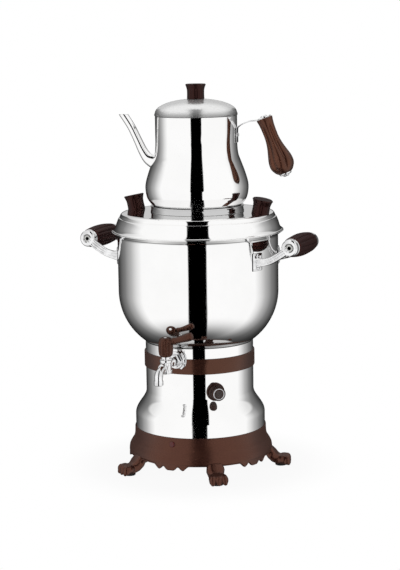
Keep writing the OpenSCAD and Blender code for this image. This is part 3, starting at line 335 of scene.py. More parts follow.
@dataclass(frozen=True)
class Moulding(Finish):
    """Moulded plastic: clouded colour, a fine moulding grain and a thin shine.

    Attributes:
        cloud: colour of the clouds.
        scale: clouds a metre.
        stretch: how many times as often they come along each axis.
        turn: turn of those axes, in degrees.
        grain: depth of the grain, in metres.
        shine: weight of the clear coat.
        gloss: level of the plain gloss.
        tint: its colour.
    """

    cloud: Colour = (0.05, 0.03, 0.02)
    scale: float = 45
    stretch: Point3 = (1, 1, 1)
    turn: Point3 = (0, 0, 0)
    grain: float = 0.00003
    shine: float = 0.1
    gloss: float = 0.3
    tint: Colour = (1, 1, 1)

    def dress(self, g: Graph, shader: bpy.types.Node) -> None:
        """Clouds vary the colour, painted shade darkens it at the outline, the grain tips the
        normal.

        Args:
            g: the material's graph.
            shader: its Principled node.
        """
        edge = Val(g, g.add("ShaderNodeLayerWeight", None, {"Blend": 0.4}).outputs["Facing"])
        clouds = g.noise(g.coords(self.stretch, self.turn), self.scale, detail=4, rough=0.62)
        grain = g.noise(g.coords(), scale=1500, rough=0.6)
        base = g.mix(clouds.between(0.34, 0.68), self.cloud, self.colour)
        # painted shade: deep, a fifth of the cloud colour, is mixed in where the surface turns from
        # the view
        deep = tuple(c * 0.2 for c in self.cloud)
        toned = g.mix(0.12 * grain, base, self.cloud)
        g.feed(shader.inputs["Base Color"], g.mix(0.9 * edge.between(0.1, 0.75), toned, deep))
        rough = self.roughness + 0.12 * (clouds - 0.5) + 0.05 * grain
        g.feed(shader.inputs["Roughness"], rough + 0.45 * edge.between(0.15, 0.75))
        g.feed(shader.inputs["Coat Weight"], self.shine * clouds.between(0.2, 0.6))
        shader.inputs["Coat Roughness"].default_value = 0.12
        shader.inputs["Specular IOR Level"].default_value = self.gloss
        shader.inputs["Specular Tint"].default_value = paint(self.tint)
        g.feed(shader.inputs["Normal"], g.bump(grain, self.grain))


@dataclass(frozen=True)
class LampLens(Finish):
    """A red lens pressed with a pattern of fine cells."""

    def dress(self, g: Graph, shader: bpy.types.Node) -> None:
        """The cells vary colour, roughness and normal.

        Args:
            g: the material's graph.
            shader: its Principled node.
        """
        cells = g.noise(g.coords(), scale=700, detail=1)
        deep = tuple(c * 0.4 for c in self.colour)
        g.feed(shader.inputs["Base Color"], g.mix(cells, deep, self.colour))
        g.feed(shader.inputs["Roughness"], self.roughness + 0.1 * cells)
        g.feed(shader.inputs["Normal"], g.bump(cells, 0.0002))
        shader.inputs["Coat Weight"].default_value = 0.1


STEEL: Colour = (0.975, 0.972, 0.968)


class Look(Enum):
    """The finishes that this samovar has."""

    BRIGHT = PolishedSheet("bright_sheet", STEEL, 0.03)
    # painted shade: the tank's colour falls to half from 0.222 m down to 0.182 m, under the bowl
    BOWL = PolishedSheet("tank_sheet", STEEL, 0.03, dim_from=0.182, dim_to=0.222, dim=0.5)
    # painted shade: the collar's steel is greyed to 0.6, standing in for the darker reflection that
    # it shows
    SEAM = PolishedSheet("collar_sheet", (0.60, 0.60, 0.60), 0.05)
    # painted shade: the cover's colour falls to 0.4 towards its rim, below 0.4995 m
    COVER = PolishedSheet("cover_sheet", (0.98, 0.98, 0.975), 0.24, dim_from=0.4905,
                          dim_to=0.4995, dim=0.4, metal=0.7)
    INNER = PolishedSheet("inner_sheet", (0.72, 0.71, 0.70), 0.16, wave=0.0003)
    CHROME = Metal("bright_chrome", (0.93, 0.93, 0.935), 0.05, dull=0.08, tooth=0.000004)
    TRIM = Metal("grey_chrome", (0.56, 0.56, 0.57), 0.16, dull=0.1)
    ZINC = Metal("zinc_steel", (0.62, 0.62, 0.60), 0.3)
    BRASS = Metal("cast_brass", (0.72, 0.51, 0.22), 0.28)
    ELEMENT = Metal("element_sheath", (0.34, 0.33, 0.34), 0.42, scale=60)
    PINS = Metal("inlet_pins", (0.76, 0.68, 0.45), 0.2)
    BASE = Moulding("brown_moulding", (0.052, 0.019, 0.013), 0.22, cloud=(0.038, 0.013, 0.010),
                    gloss=1.0, tint=(1, 0.46, 0.32), shine=0.0)
    BAND = Moulding("brown_band", (0.050, 0.019, 0.013), 0.12, cloud=(0.038, 0.014, 0.010),
                    stretch=(1, 1, 3), gloss=1.0, tint=(1, 0.48, 0.33), shine=0.0)
    PEAR = Moulding("pear_grip", (0.120, 0.040, 0.022), 0.2, cloud=(0.040, 0.014, 0.010),
                    scale=90, stretch=(1, 1, 0.16), turn=(0, 21, -13), gloss=0.9, shine=0.0,
                    tint=(1, 0.50, 0.34))
    SIDE = Moulding("side_grip", (0.042, 0.010, 0.009), 0.26, cloud=(0.018, 0.005, 0.005),
                    scale=120, stretch=(1, 0.2, 1), gloss=0.35, tint=(1, 0.35, 0.3), shine=0.0)
    KNOB = Moulding("dark_knob", (0.015, 0.005, 0.004), 0.2, cloud=(0.009, 0.003, 0.003),
                    scale=90, gloss=0.35, tint=(1, 0.45, 0.4), shine=0.02)
    LEVER = Moulding("red_brown_lever", (0.062, 0.022, 0.014), 0.24, cloud=(0.036, 0.013, 0.009),
                     scale=130, gloss=0.7, tint=(1, 0.50, 0.36), shine=0.0)
    BEZEL = Moulding("brown_bezel", (0.036, 0.017, 0.014), 0.34, cloud=(0.020, 0.010, 0.008),
                     scale=130, gloss=0.5, tint=(1, 0.6, 0.5), shine=0.0)
    DIAL = Moulding("dial_face", (0.110, 0.086, 0.078), 0.5, cloud=(0.036, 0.028, 0.026),
                    scale=900, grain=0.0002, shine=0.1)
    BLACK = Moulding("black_plastic", (0.022, 0.022, 0.023), 0.4, cloud=(0.012, 0.012, 0.012))
    CERAMIC = Moulding("pale_ceramic", (0.62, 0.58, 0.50), 0.5, cloud=(0.5, 0.46, 0.38))
    RUBBER = Moulding("rubber", (0.026, 0.026, 0.026), 0.75, cloud=(0.016, 0.016, 0.016),
                      shine=0.02)
    SEAL = Moulding("red_seal", (0.26, 0.06, 0.04), 0.6, cloud=(0.18, 0.04, 0.03), shine=0.05)
    WIRE = Moulding("lead_cover", (0.36, 0.05, 0.035), 0.4, cloud=(0.28, 0.035, 0.025))
    LENS = LampLens("red_lens", (0.16, 0.006, 0.006), 0.2)


# ---------------------------------------------------------------- outlines

TINY = 1e-6  # lengths below this count as nothing


def smooth(knots: Sequence[Sequence[float]], steps: int) -> list[tuple]:
    """Points on a smooth curve through knots.

    Args:
        knots: the points that it goes through.
        steps: how many stretches there are between two knots.

    Returns:
        The curve's points, the knots among them.
    """
    k = [np.array(q, float) for q in knots]
    out = []
    for i in range(len(k) - 1):
        a, b, c, d = k[max(i - 1, 0)], k[i], k[i + 1], k[min(i + 2, len(k) - 1)]
        for j in range(steps):
            t = j / steps
            out.append(tuple(0.5 * (2 * b + t * (c - a) + t * t * (2 * a - 5 * b + 4 * c - d)
                                    + t ** 3 * (3 * b - a - 3 * c + d))))
    return out + [tuple(k[-1])]


def around(azimuth: float, radius: float, height: float) -> Point3:
    """A point by azimuth from -Y, radius and height."""
    a = math.radians(azimuth)
    return (radius * math.sin(a), -radius * math.cos(a), height)


def s_blend(r1: float, z1: float, r2: float, z2: float, steps: int) -> Outline:
    """An S-shaped line from one radius to another."""
    return [(r1 + (r2 - r1) * (1 - math.cos(math.pi * i / steps)) / 2, z1 + (z2 - z1) * i / steps)
            for i in range(steps + 1)]


def headings(path: Sequence[Sequence[float]]) -> list[np.ndarray]:
    """The direction of a path at each of its points.

    Args:
        path: the path's points.

    Returns:
        A unit vector for each point.
    """
    p = [np.array(q, float) for q in path]
    ways = [p[min(i + 1, len(p) - 1)] - p[max(i - 1, 0)] for i in range(len(p))]
    return [w / max(np.linalg.norm(w), TINY) for w in ways]


def sizes_along(count: int, places: Sequence[float], sizes: Sequence[float]) -> list[float]:
    """Sizes at count points of a line, read from sizes at places from 0 to 1 on it."""
    return [float(v) for v in np.interp(np.linspace(0, 1, count), places, sizes)]


def beside(path: Outline, distance: float) -> Outline:
    """The line that runs distance to the left of path."""
    return [(p[0] - distance * t[1], p[1] + distance * t[0])
            for p, t in zip(path, headings(path))]


def rounded(corners: Outline, radius: float, steps: int = 3, closed: bool = True) -> Outline:
    """Rounds the corners of an outline.

    Args:
        corners: the outline's points.
        radius: radius of the rounding, less where a side is short.
        steps: faces on each rounding.
        closed: whether the last point joins the first.

    Returns:
        The rounded outline.
    """
    out: Outline = []
    n = len(corners)
    for i, corner in enumerate(corners):
        if not closed and i in (0, n - 1):
            out.append(corner)
            continue
        q = np.array(corner, float)
        a, b = np.array(corners[i - 1], float) - q, np.array(corners[(i + 1) % n], float) - q
        la, lb = np.linalg.norm(a), np.linalg.norm(b)
        if min(la, lb) < TINY:
            continue
        half = math.acos(float(np.clip(np.dot(a, b) / la / lb, -1, 1))) / 2
        nearly_straight = half > math.radians(82)
        if nearly_straight or corner[0] < TINY:
            out.append(corner)
            continue
        cut = min(radius / math.tan(half), 0.45 * la, 0.45 * lb)
        p, r = q + a / la * cut, q + b / lb * cut
        for j in range(steps + 1):
            t = j / steps
            out.append(tuple((1 - t) ** 2 * p + 2 * t * (1 - t) * q + t * t * r))
    return out


def bent(knots: Sequence[Point3], steps: int) -> list[Point3]:
    """A path with rounded corners and straight ends.

    Args:
        knots: the corners, from one end to the other.
        steps: how many stretches each corner has.

    Returns:
        The path's points.
    """
    k = [np.array(q, float) for q in knots]
    out = [tuple(k[0])]
    for i in range(1, len(k) - 1):
        a, c = (k[i - 1] + k[i]) / 2, (k[i] + k[i + 1]) / 2
        for j in range(steps):
            t = j / steps
            out.append(tuple((1 - t) ** 2 * a + 2 * t * (1 - t) * k[i] + t * t * c))
    return out + [tuple((k[-2] + k[-1]) / 2), tuple(k[-1])]


def sheet_outline(outer: Outline, wall: float) -> Outline:
    """A closed outline of a sheet from its outer line, which runs from the bottom up."""
    return outer + beside(outer, wall)[::-1]


# ---------------------------------------------------------------- meshes

def spin(degrees: float, axis: str = "Z") -> Matrix:
    """A turn about an axis, the upright one unless another is named."""
    return Matrix.Rotation(math.radians(degrees), 4, axis)


def shift(x: float, y: float, z: float) -> Matrix:
    """A move in millimetres."""
    return Matrix.Translation((x, y, z))


def outward(azimuth: float, radius: float, height: float) -> Matrix:
    """A frame whose +Z points out from the upright axis at an azimuth counted from -Y."""
    return spin(azimuth) @ shift(0, -radius, height) @ spin(90, "X")


def put(name: str, data: bpy.types.ID) -> bpy.types.Object:
    """Puts a new object into the scene.

    Args:
        name: its name.
        data: its mesh, lamp or camera.

    Returns:
        The object.
    """
    thing = bpy.data.objects.new(name, data)
    bpy.context.scene.collection.objects.link(thing)
    return thing


class Blank:
    """A mesh in the making, in millimetres."""

    def __init__(self) -> None:
        """Starts empty."""
        self.mesh = bmesh.new()

    def rings(self, rings: Sequence[Sequence[Point3]], place: Matrix = Matrix.Identity(4),
              wrap: bool = False, caps: bool = True) -> "Blank":
        """Adds a skin over closed rings of points; a ring of one point is a pole.

        Args:
            rings: the rings, each with the same number of points, or with one.
            place: where they go.
            wrap: whether the last ring joins the first.
            caps: whether open ends are closed.

        Returns:
            This blank.
        """
        rows = [[self.mesh.verts.new(place @ Vector(p)) for p in ring] for ring in rings]
        pairs = list(zip(rows, rows[1:])) + ([(rows[-1], rows[0])] if wrap else [])
        for a, b in pairs:
            for i in range(max(len(a), len(b))):
                j = (i + 1) % max(len(a), len(b))
                loop = [a[i % len(a)], a[j % len(a)], b[j % len(b)], b[i % len(b)]]
                loop = list(dict.fromkeys(loop))
                if len(loop) > 2:
                    self.mesh.faces.new(loop)
        if caps and not wrap:
            for row in (rows[0], rows[-1]):
                if len(row) > 2:
                    self.mesh.faces.new(row)
        return self

    def lathe(self, outline: Outline, place: Matrix = Matrix.Identity(4), steps: int = 96,
              wrap: bool = False) -> "Blank":
        """Turns an outline of (radius, height) about the local +Z axis.

        Args:
            outline: the points; one on the axis becomes a pole.
            place: where the result goes.
            steps: faces around the axis.
            wrap: whether the outline is closed.

        Returns:
            This blank.
        """
        turns = [2 * math.pi * i / steps for i in range(steps)]
        rings = [[(0, 0, z)] if r < TINY else
                 [(r * math.cos(a), r * math.sin(a), z) for a in turns] for r, z in outline]
        return self.rings(rings, place, wrap)

    def sweep(self, path: Sequence[Point3], sizes: Sequence[Point2], side: Point3,
              place: Matrix = Matrix.Identity(4), steps: int = 24, square: float = 2,
              caps: bool = True) -> "Blank":
        """Runs a rounded section along a path.

        Args:
            path: the centre line.
            sizes: half sizes of the section at each point, along side and across it.
            side: a direction that stays square to the path.
            place: where the result goes.
            steps: points around the section.
            square: 2 for an ellipse, more for a squarer section.
            caps: whether the ends are closed.

        Returns:
            This blank.
        """
        u = np.array(side, float)
        rings = []
        for p, t, (a, b) in zip(path, headings(path), sizes):
            v = np.cross(t, u)
            ring = []
            for k in range(steps):
                c, s = math.cos(2 * math.pi * k / steps), math.sin(2 * math.pi * k / steps)
                x = math.copysign(abs(c) ** (2 / square), c) * a
                y = math.copysign(abs(s) ** (2 / square), s) * b
                ring.append(tuple(np.array(p, float) + x * u + y * v))
            rings.append(ring)
        return self.rings(rings, place, caps=caps)

    def ball(self, centre: Point3, radii: Point3, lean: float = 0) -> "Blank":
        """Adds an ellipsoid.

        Args:
            centre: its middle.
            radii: its half sizes.
            lean: its turn about the upright axis, in degrees.

        Returns:
            This blank.
        """
        place = shift(*centre) @ spin(lean) @ Matrix.Diagonal((*radii, 1))
        rows, steps = 12, 20
        arc = [(math.sin(math.pi * i / rows), -math.cos(math.pi * i / rows))
               for i in range(1, rows)]
        return self.lathe([(0, -1)] + arc + [(0, 1)], place, steps)

    def box(self, low: Point3, high: Point3, place: Matrix = Matrix.Identity(4)) -> "Blank":
        """Adds a block.

        Args:
            low: its lowest corner.
            high: its highest corner.
            place: where it goes.

        Returns:
            This blank.
        """
        (x0, y0, z0), (x1, y1, z1) = low, high
        loop = [(x0, y0), (x1, y0), (x1, y1), (x0, y1)]
        return self.rings([[(x, y, z) for x, y in loop] for z in (z0, z1)], place)

    def finish(self, name: str, crease: float = 34) -> bpy.types.Object:
        """Makes the object, in metres.

        Args:
            name: its name.
            crease: the angle in degrees past which an edge stays sharp.

        Returns:
            The object.
        """
        bmesh.ops.recalc_face_normals(self.mesh, faces=self.mesh.faces)
        data = bpy.data.meshes.new(name)
        self.mesh.to_mesh(data)
        self.mesh.free()
        data.transform(Matrix.Scale(MM, 4))
        data.shade_smooth()
        data.set_sharp_from_angle(angle=math.radians(crease))
        return put(name, data)

    def fit(self, name: str, look: Look, body: str, slot: str, *nodes: str,
            crease: float = 34) -> bpy.types.Object:
        """Makes the object, coats it and hands it to the frame.

        Args:
            name: its name.
            look: its finish.
            body: the body that it moves with.
            slot: the record's material slot, handed to seat; not used.
            nodes: CAD nodes that it stands for.
            crease: the angle in degrees past which an edge stays sharp.

        Returns:
            The piece.
        """
        return seat(coat(self.finish(name, crease), look), body, slot, *nodes)


def settle(thing: bpy.types.Object) -> bpy.types.Object:
    """Turns what an object's modifiers make of it into its plain mesh.

    Args:
        thing: the object.

    Returns:
        The same object, without its modifiers.
    """
    bpy.context.view_layer.update()
    graph = bpy.context.evaluated_depsgraph_get()
    data = bpy.data.meshes.new_from_object(thing.evaluated_get(graph), depsgraph=graph)
    thing.modifiers.clear()
    thing.data = data
    return thing


def join(things: Sequence[bpy.types.Object], name: str) -> bpy.types.Object:
    """Makes one object of several, which keep their finishes.

    Args:
        things: the objects.
        name: name of the result.

    Returns:
        The first of them, which takes in the others.
    """
    first = things[0]
    with bpy.context.temp_override(active_object=first, object=first,
                                   selected_editable_objects=list(things),
                                   selected_objects=list(things)):
        bpy.ops.object.join()
    first.name = first.data.name = name
    return first


def coat(thing: bpy.types.Object, look: Look) -> bpy.types.Object:
    """Gives a whole object one finish.

    Args:
        thing: the object.
        look: the finish.

    Returns:
        The same object.
    """
    thing.data.materials.clear()
    thing.data.materials.append(look.value.material())
    return thing


def seat(thing: bpy.types.Object, body: str, slot: str, *nodes: str) -> bpy.types.Object:
    """Hands a finished piece to the frame.

    Args:
        thing: the piece, in place.
        body: the body that it moves with.
        slot: the record's material slot; not used.
        nodes: CAD nodes that it stands for.

    Returns:
        The piece.
    """
    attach(thing, body)
    if nodes:
        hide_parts(*nodes)
    LOG.info("%s rides on %s, %d faces", thing.name, body, len(thing.data.polygons))
    return thing


def dress_nodes(look: Look, *nodes: str) -> None:
    """Gives CAD nodes that stay in view a finish.

    Args:
        look: the finish.
        nodes: the nodes.
    """
    for node in nodes:
        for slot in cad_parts[node].material_slots:
            slot.material = look.value.material()
        LOG.info("%s keeps its CAD surface, finish %s", node, look.name.lower())


# ---------------------------------------------------------------- geometry nodes

class Recipe(Graph):
    """A geometry nodes tree with named inputs, run on an object and then made plain."""

    def __init__(self, name: str, sizes: dict[str, float]) -> None:
        """Starts the tree with its inputs.

        Args:
            name: name of the tree.
            sizes: named number inputs and their usual values; an int makes a whole number.
        """
        super().__init__(bpy.data.node_groups.new(name, "GeometryNodeTree"))
        face = self.tree.interface
        face.new_socket("Geometry", in_out="OUTPUT", socket_type="NodeSocketGeometry")
        self.keys: dict[str, str] = {}
        for label, kind in (("Geometry", "NodeSocketGeometry"), ("Finish", "NodeSocketMaterial")):
            self.keys[label] = face.new_socket(label, in_out="INPUT",
                                               socket_type=kind).identifier
        for label, value in sizes.items():
            kind = "NodeSocketInt" if isinstance(value, int) else "NodeSocketFloat"
            socket = face.new_socket(label, in_out="INPUT", socket_type=kind)
            socket.default_value = value
            self.keys[label] = socket.identifier
        self.entry = self.add("NodeGroupInput")

    def size(self, label: str) -> Val:
        """A named input as a number."""
        return Val(self, self.entry.outputs[label])

    def close(self, geometry: bpy.types.NodeSocket) -> "Recipe":
        """Ends the tree in Realize Instances and Set Material.

        Args:
            geometry: the socket that gives the result.

        Returns:
            This recipe.
        """
        plain = self.add("GeometryNodeRealizeInstances", None, {0: geometry})
        dressed = self.add("GeometryNodeSetMaterial", None, {
            "Geometry": plain.outputs[0], "Material": self.entry.outputs["Finish"]})
        self.add("NodeGroupOutput", None, {0: dressed.outputs[0]})
        return self

    def run(self, thing: bpy.types.Object, look: Look, **sizes: float) -> bpy.types.Object:
        """Runs the tree on an object.

        Args:
            thing: the object whose mesh goes in.
            look: the finish of what comes out.
            sizes: values of the named inputs.

        Returns:
            The object with the plain result as its mesh.
        """
        modifier = thing.modifiers.new(self.tree.name, "NODES")
        modifier.node_group = self.tree
        modifier[self.keys["Finish"]] = look.value.material()
        for label, value in sizes.items():
            modifier[self.keys[label]] = value
        return settle(thing)


@functools.lru_cache(maxsize=None)
def fluting() -> Recipe:
    """Grooves that run along a turned piece about its +Z axis.

    Returns:
        A recipe whose sizes are the Count of grooves, their Depth, the Power that sharpens them,
        the Low and High heights where they end, and the lengths over which they fade there.
    """
    g = Recipe("fluting", {"Count": 8, "Depth": 0.001, "Power": 1.5, "Low": 0.0, "High": 0.05,
                           "Fade": 0.004, "Low_fade": 0.004})
    place = g.add("GeometryNodeInputPosition").outputs[0]
    x, y, z = g.parts(place)
    turn = g.math("ARCTAN2", y, x) * g.size("Count") / 2
    groove = (1 - abs(g.math("SINE", turn))) ** g.size("Power")
    low, high = g.size("Low"), g.size("High")
    reach = z.between(low, low + g.size("Low_fade")) * (1 - z.between(high - g.size("Fade"), high))
    out = g.vector("NORMALIZE", g.vector("MULTIPLY", place, (1, 1, 0)), (0, 0, 0))
    deep = g.size("Depth") * groove * reach * -1
    scaled = g.add("ShaderNodeVectorMath", {"operation": "SCALE"}, {0: out, "Scale": deep})
    moved = g.add("GeometryNodeSetPosition", None, {
        "Geometry": g.entry.outputs["Geometry"], "Offset": scaled.outputs[0]})
    return g.close(moved.outputs[0])


@functools.lru_cache(maxsize=None)
def carousel() -> Recipe:
    """Copies of one piece, spread evenly about the upright axis.

    Returns:
        A recipe whose sizes are the Count of copies and the turn of the first, Start in radians.
    """
    g = Recipe("carousel", {"Count": 5, "Start": 0.0})
    points = g.add("GeometryNodePoints", None, {"Count": g.size("Count")})
    index = Val(g, g.add("GeometryNodeInputIndex").outputs[0])
    turn = g.size("Start") + index * (2 * math.pi) / g.size("Count")
    way = g.add("ShaderNodeCombineXYZ", None, {2: turn})
    copies = g.add("GeometryNodeInstanceOnPoints", None, {
        "Points": points.outputs[0], "Instance": g.entry.outputs["Geometry"],
        "Rotation": way.outputs[0]})
    return g.close(copies.outputs[0])


@functools.lru_cache(maxsize=None)
def tubing() -> Recipe:
    """A round tube along the edges of a path.

    Returns:
        A recipe whose sizes are the tube's Radius and how many Sides it has.
    """
    g = Recipe("tubing", {"Radius": 0.0014, "Sides": 12})
    line = g.add("GeometryNodeMeshToCurve", None, {0: g.entry.outputs["Geometry"]})
    ring = g.add("GeometryNodeCurvePrimitiveCircle", None, {
        "Resolution": g.size("Sides"), "Radius": g.size("Radius")})
    tube = g.add("GeometryNodeCurveToMesh", None, {
        "Curve": line.outputs[0], "Profile Curve": ring.outputs[0], "Fill Caps": True})
    even = g.add("GeometryNodeSetShadeSmooth", None, {0: tube.outputs[0]})
    return g.close(even.outputs[0])


@functools.lru_cache(maxsize=None)
def riveting() -> Recipe:
    """Round rivet heads on points of a wall, facing out from the upright axis.

    Returns:
        A recipe whose sizes are a head's Radius and Height.
    """
    g = Recipe("riveting", {"Radius": 0.003, "Height": 0.0012})
    ball = g.add("GeometryNodeMeshUVSphere", None, {
        "Segments": 20, "Rings": 12, "Radius": g.size("Radius")})
    flat = g.add("ShaderNodeCombineXYZ", None, {
        0: 1.0, 1: 1.0, 2: g.size("Height") / g.size("Radius")})
    dome = g.add("GeometryNodeTransform", None, {
        "Geometry": ball.outputs[0], "Scale": flat.outputs[0]})
    place = g.add("GeometryNodeInputPosition").outputs[0]
    out = g.vector("MULTIPLY", place, (1, 1, 0))
    way = g.add("FunctionNodeAlignRotationToVector", {"axis": "Z"}, {"Vector": out})
    points = g.add("GeometryNodeMeshToPoints", None, {0: g.entry.outputs["Geometry"]})
    heads = g.add("GeometryNodeInstanceOnPoints", None, {
        "Points": points.outputs[0], "Instance": dome.outputs[0], "Rotation": way.outputs[0]})
    even = g.add("GeometryNodeSetShadeSmooth", None, {0: heads.outputs[0]})
    return g.close(even.outputs[0])


def line_object(name: str, path: Sequence[Point3], edges: bool = True) -> bpy.types.Object:
    """An object of bare points for a recipe to work on.

    Args:
        name: its name.
        path: its points.
        edges: whether edges join them.

    Returns:
        The object, in metres.
    """
    data = bpy.data.meshes.new(name)
    data.from_pydata([Vector(p) * MM for p in path],
                     [(i, i + 1) for i in range(len(path) - 1)] if edges else [], [])
    return put(name, data)


def move(thing: bpy.types.Object, place: Matrix) -> bpy.types.Object:
    """Moves an object's mesh.

    Args:
        thing: the object, in metres.
        place: the move, in millimetres.

    Returns:
        The same object.
    """
    place = place.copy()
    place.translation *= MM
    thing.data.transform(place)
    return thing


# ---------------------------------------------------------------- the samovar

@dataclass(frozen=True)
class Stack:
    """Heights of the samovar's seams above the ground, in millimetres."""

    skirt: float = 21  # lower edge of the base ring, before its lobes
    ring_top: float = 58.5  # top of the base ring
    shell: float = 55  # foot of the pedestal shell
    shoulder: float = 76  # where its shoulder begins
    neck: float = 110  # where its neck begins
    neck_top: float = 179  # top of the neck
    tank: float = 175.661  # underside of the tank
    corner: float = tank + 74  # where its round corner turns upright
    rim: float = tank + 151  # where its rim begins to flare
    rim_top: float = rim + 5.5  # where the flare ends
    lid: float = 332.975  # lower edge of the main lid
    lid_seam: float = lid + 19.2  # groove between its skirt and its crown
    lid_top: float = lid + 25.6  # top of its crown
    collar_top: float = lid_top + 9  # top of its collar
    pot: float = collar_top + 0.3  # underside of the teapot
    pot_lid: float = pot + 122.3  # underside of the rim of its lid
    dome_top: float = pot_lid + 22.7  # top of the lid's dome
    grip: float = rim - 8  # axis of the side grips
    tap: float = 163.5  # axis of the tap's pipe
    dial: float = 119.5  # axis of the thermostat


Z = Stack()


@dataclass
class Base:
    """Base ring with its lobed skirt, paw feet, pads, lamp lens and bottom fasteners."""

    top_r: float = 91.9  # radius of the ring's top
    skirt_r: float = 100.5  # radius of its skirt
    seat_r: float = 90.8  # radius of the recess that the pedestal stands in
    seat_w: float = 4.5  # width of its seat
    wall: float = 3  # thickness of the moulding
    ledge_r: float = 80.2  # inner radius of the ledge over the plate
    ledge_z: float = 27  # height of its underside
    bays: int = 5  # bays of the skirt, with a foot between each two
    drop: float = 6  # how far a bay's middle lobe hangs down
    foot_tip: float = 127  # reach of a paw's claws
    foot_z: float = 1.5  # height of its sole
    pad_r: float = 113  # radius at which the pads stand
    plate_screw_r: float = 83.2  # radius at which the plate's screws sit
    lamp_z: float = 49.5  # height of the lamp

    def edge(self, azimuth: float) -> float:
        """Reads the lobed lower edge of the skirt.

        Args:
            azimuth: degrees from the middle of a bay.

        Returns:
            The edge's height.
        """
        step = 360 / self.bays
        off = abs((azimuth + step / 2) % step - step / 2)
        across = self.skirt_r * math.sin(math.radians(off))
        lobes = [(0, -self.drop), (4.6, -self.drop), (7.2, -4.4), (9.6, -1.6), (11, -1.1),
                 (12.4, -1.6), (15, -4.2), (17.5, -5.7), (19.6, -5.2), (22.5, -2.4), (25.5, 0.2),
                 (30, 0.4)]
        return Z.skirt + float(np.interp(across, *zip(*lobes)))

    def ring(self) -> None:
        """The moulded ring: swept skirt, beaded lobes, rolled top edge, ledge inside."""
        low, high = self.skirt_r, self.top_r
        seat_out, seat_in = self.seat_r, self.seat_r - self.seat_w
        outer = smooth([(low - 0.3, Z.skirt + 2.4), (low, Z.skirt + 4), (low - 0.8, Z.skirt + 10),
                        (low - 3.6, Z.skirt + 15.5), (high + 2.2, Z.skirt + 20),
                        (high + 0.5, Z.skirt + 26), (high, Z.ring_top - 1)], 6)
        fixed = outer + [(high - 0.2, Z.ring_top - 0.3), (high - 0.6, Z.ring_top),
                         (seat_out, Z.ring_top), (seat_out, Z.shell), (seat_in, Z.shell),
                         (seat_in, Z.shell - self.wall)]
        fixed += [p for p in beside(outer, self.wall)[::-1] if p[1] < Z.shell - self.wall]
        lip = low - 0.3
        back = lip - self.wall
        bead = [(back, 1.4), (back, 0.4), (back + 0.5, 0), (lip - 0.4, 0), (lip, 0.3),
                (lip + 0.3, 0.8), (lip, 1.5), (lip - 0.3, 1.7)]
        turns = np.arange(0, 360, 0.5)
        rows = [[around(a, r, z) for a in turns] for r, z in fixed]
        rows += [[around(a, r, self.edge(a) + up) for a in turns] for r, up in bead]
        ring = Blank().rings(rows, wrap=True)
        z, out, rise = self.ledge_z, low - 1, self.wall
        ring.lathe([(self.ledge_r, z), (out, z), (out, z + rise), (self.ledge_r, z + rise)],
                   wrap=True)
        ring.fit("base_ring_moulding", Look.BASE, "urn", "brown_moulding", "base_ring")

    def paw(self) -> bpy.types.Object:
        """Models one paw at azimuth 0.

        Returns:
            Its leg and three toes, with knuckles and claws, grown together.
        """
        b = Blank()
        # reach from the upright axis, top, underside and half width of the leg
        leg = [(92.5, 29, 21, 8), (96.5, 28, 14, 11.5), (100.5, 23.5, 8, 12.6),
               (105, 18.6, 3.4, 10.8), (110, 15.9, 1.5, 9.8), (115, 15.2, 1.5, 10.2),
               (120, 14.8, 1.5, 11.2), (123.5, 13, 1.6, 11)]
        b.sweep([(0, -reach, (top + low) / 2) for reach, top, low, half in leg],
                [(half, (top - low) / 2) for reach, top, low, half in leg], (1, 0, 0), square=3)
        b.box((-5.8, -96.6, 15), (5.8, -88.4, 26.4))
        for toe in (-1, 0, 1):
            ahead = 0.8 * (1 - abs(toe))
            b.ball((8.0 * toe, -117 - ahead, 9.6), (4.9, 8.5, 5.7), 7 * toe)
            b.ball((8.4 * toe, -121.8 - ahead, 8.2), (4.9, 5.1, 6.7), 8 * toe)
            b.ball((8.7 * toe, -124.6 - ahead, 4.6), (3.3, 2.4, 3.4), 8 * toe)
        paw = b.finish("paw")
        grow = paw.modifiers.new("grow", "REMESH")
        grow.mode = "VOXEL"
        grow.voxel_size = 0.75 * MM
        ease = paw.modifiers.new("ease", "SMOOTH")
        ease.factor = 0.5
        ease.iterations = 5
        settle(paw)
        for v in paw.data.vertices:
            v.co.z = max(v.co.z, self.foot_z * MM)
            v.co.y = max(v.co.y, -self.foot_tip * MM)
        paw.data.shade_smooth()
        return paw

    def spread(self, one: bpy.types.Object, look: Look, name: str, slot: str, node: str,
               start: float = 0.0) -> None:
        """Spreads copies of a piece around the base and hands them in as one.

        Args:
            one: the piece.
            look: its finish.
            name: name of the result.
            slot: the record's material slot, handed to seat; not used.
            node: the CAD node that the copies stand for.
            start: turn of the first copy, in bays.
        """
        copies = carousel().run(one, look, Count=self.bays,
                                Start=start * 2 * math.pi / self.bays)
        copies.name = name
        seat(copies, "urn", slot, node)

    def feet(self) -> None:
        """Five paws and their rubber pads, from one of each."""
        self.spread(self.paw(), Look.BASE, "paw_feet", "brown_moulding", "feet", start=0.5)
        pad = Blank().lathe([(0, 0.4), (6.2, 0.4), (6.4, 0), (7.6, 0), (8, 0.4), (8, 3), (0, 3)],
                            shift(0, -self.pad_r, 0), 40)
        self.spread(pad.finish("pad"), Look.RUBBER, "rubber_pads", "rubber", "foot_pads",
                    start=0.5)

    def fasteners(self) -> None:
        """Screws under the plate, spread around it."""
        place = shift(0, -self.plate_screw_r, self.ledge_z - 1.5)
        screw = Blank().lathe(rounded([(0, -2.4), (2.6, -2.4), (3.6, -1.2), (3.6, 0), (2, 0),
                                       (2, 6.5), (0, 6.5)], 0.4), place, 28)
        screw.box((-2.6, -0.35, -2.42), (2.6, 0.35, -2.3), place)
        self.spread(screw.finish("screw"), Look.ZINC, "plate_screws", "zinc_steel",
                    "bottom_screws")

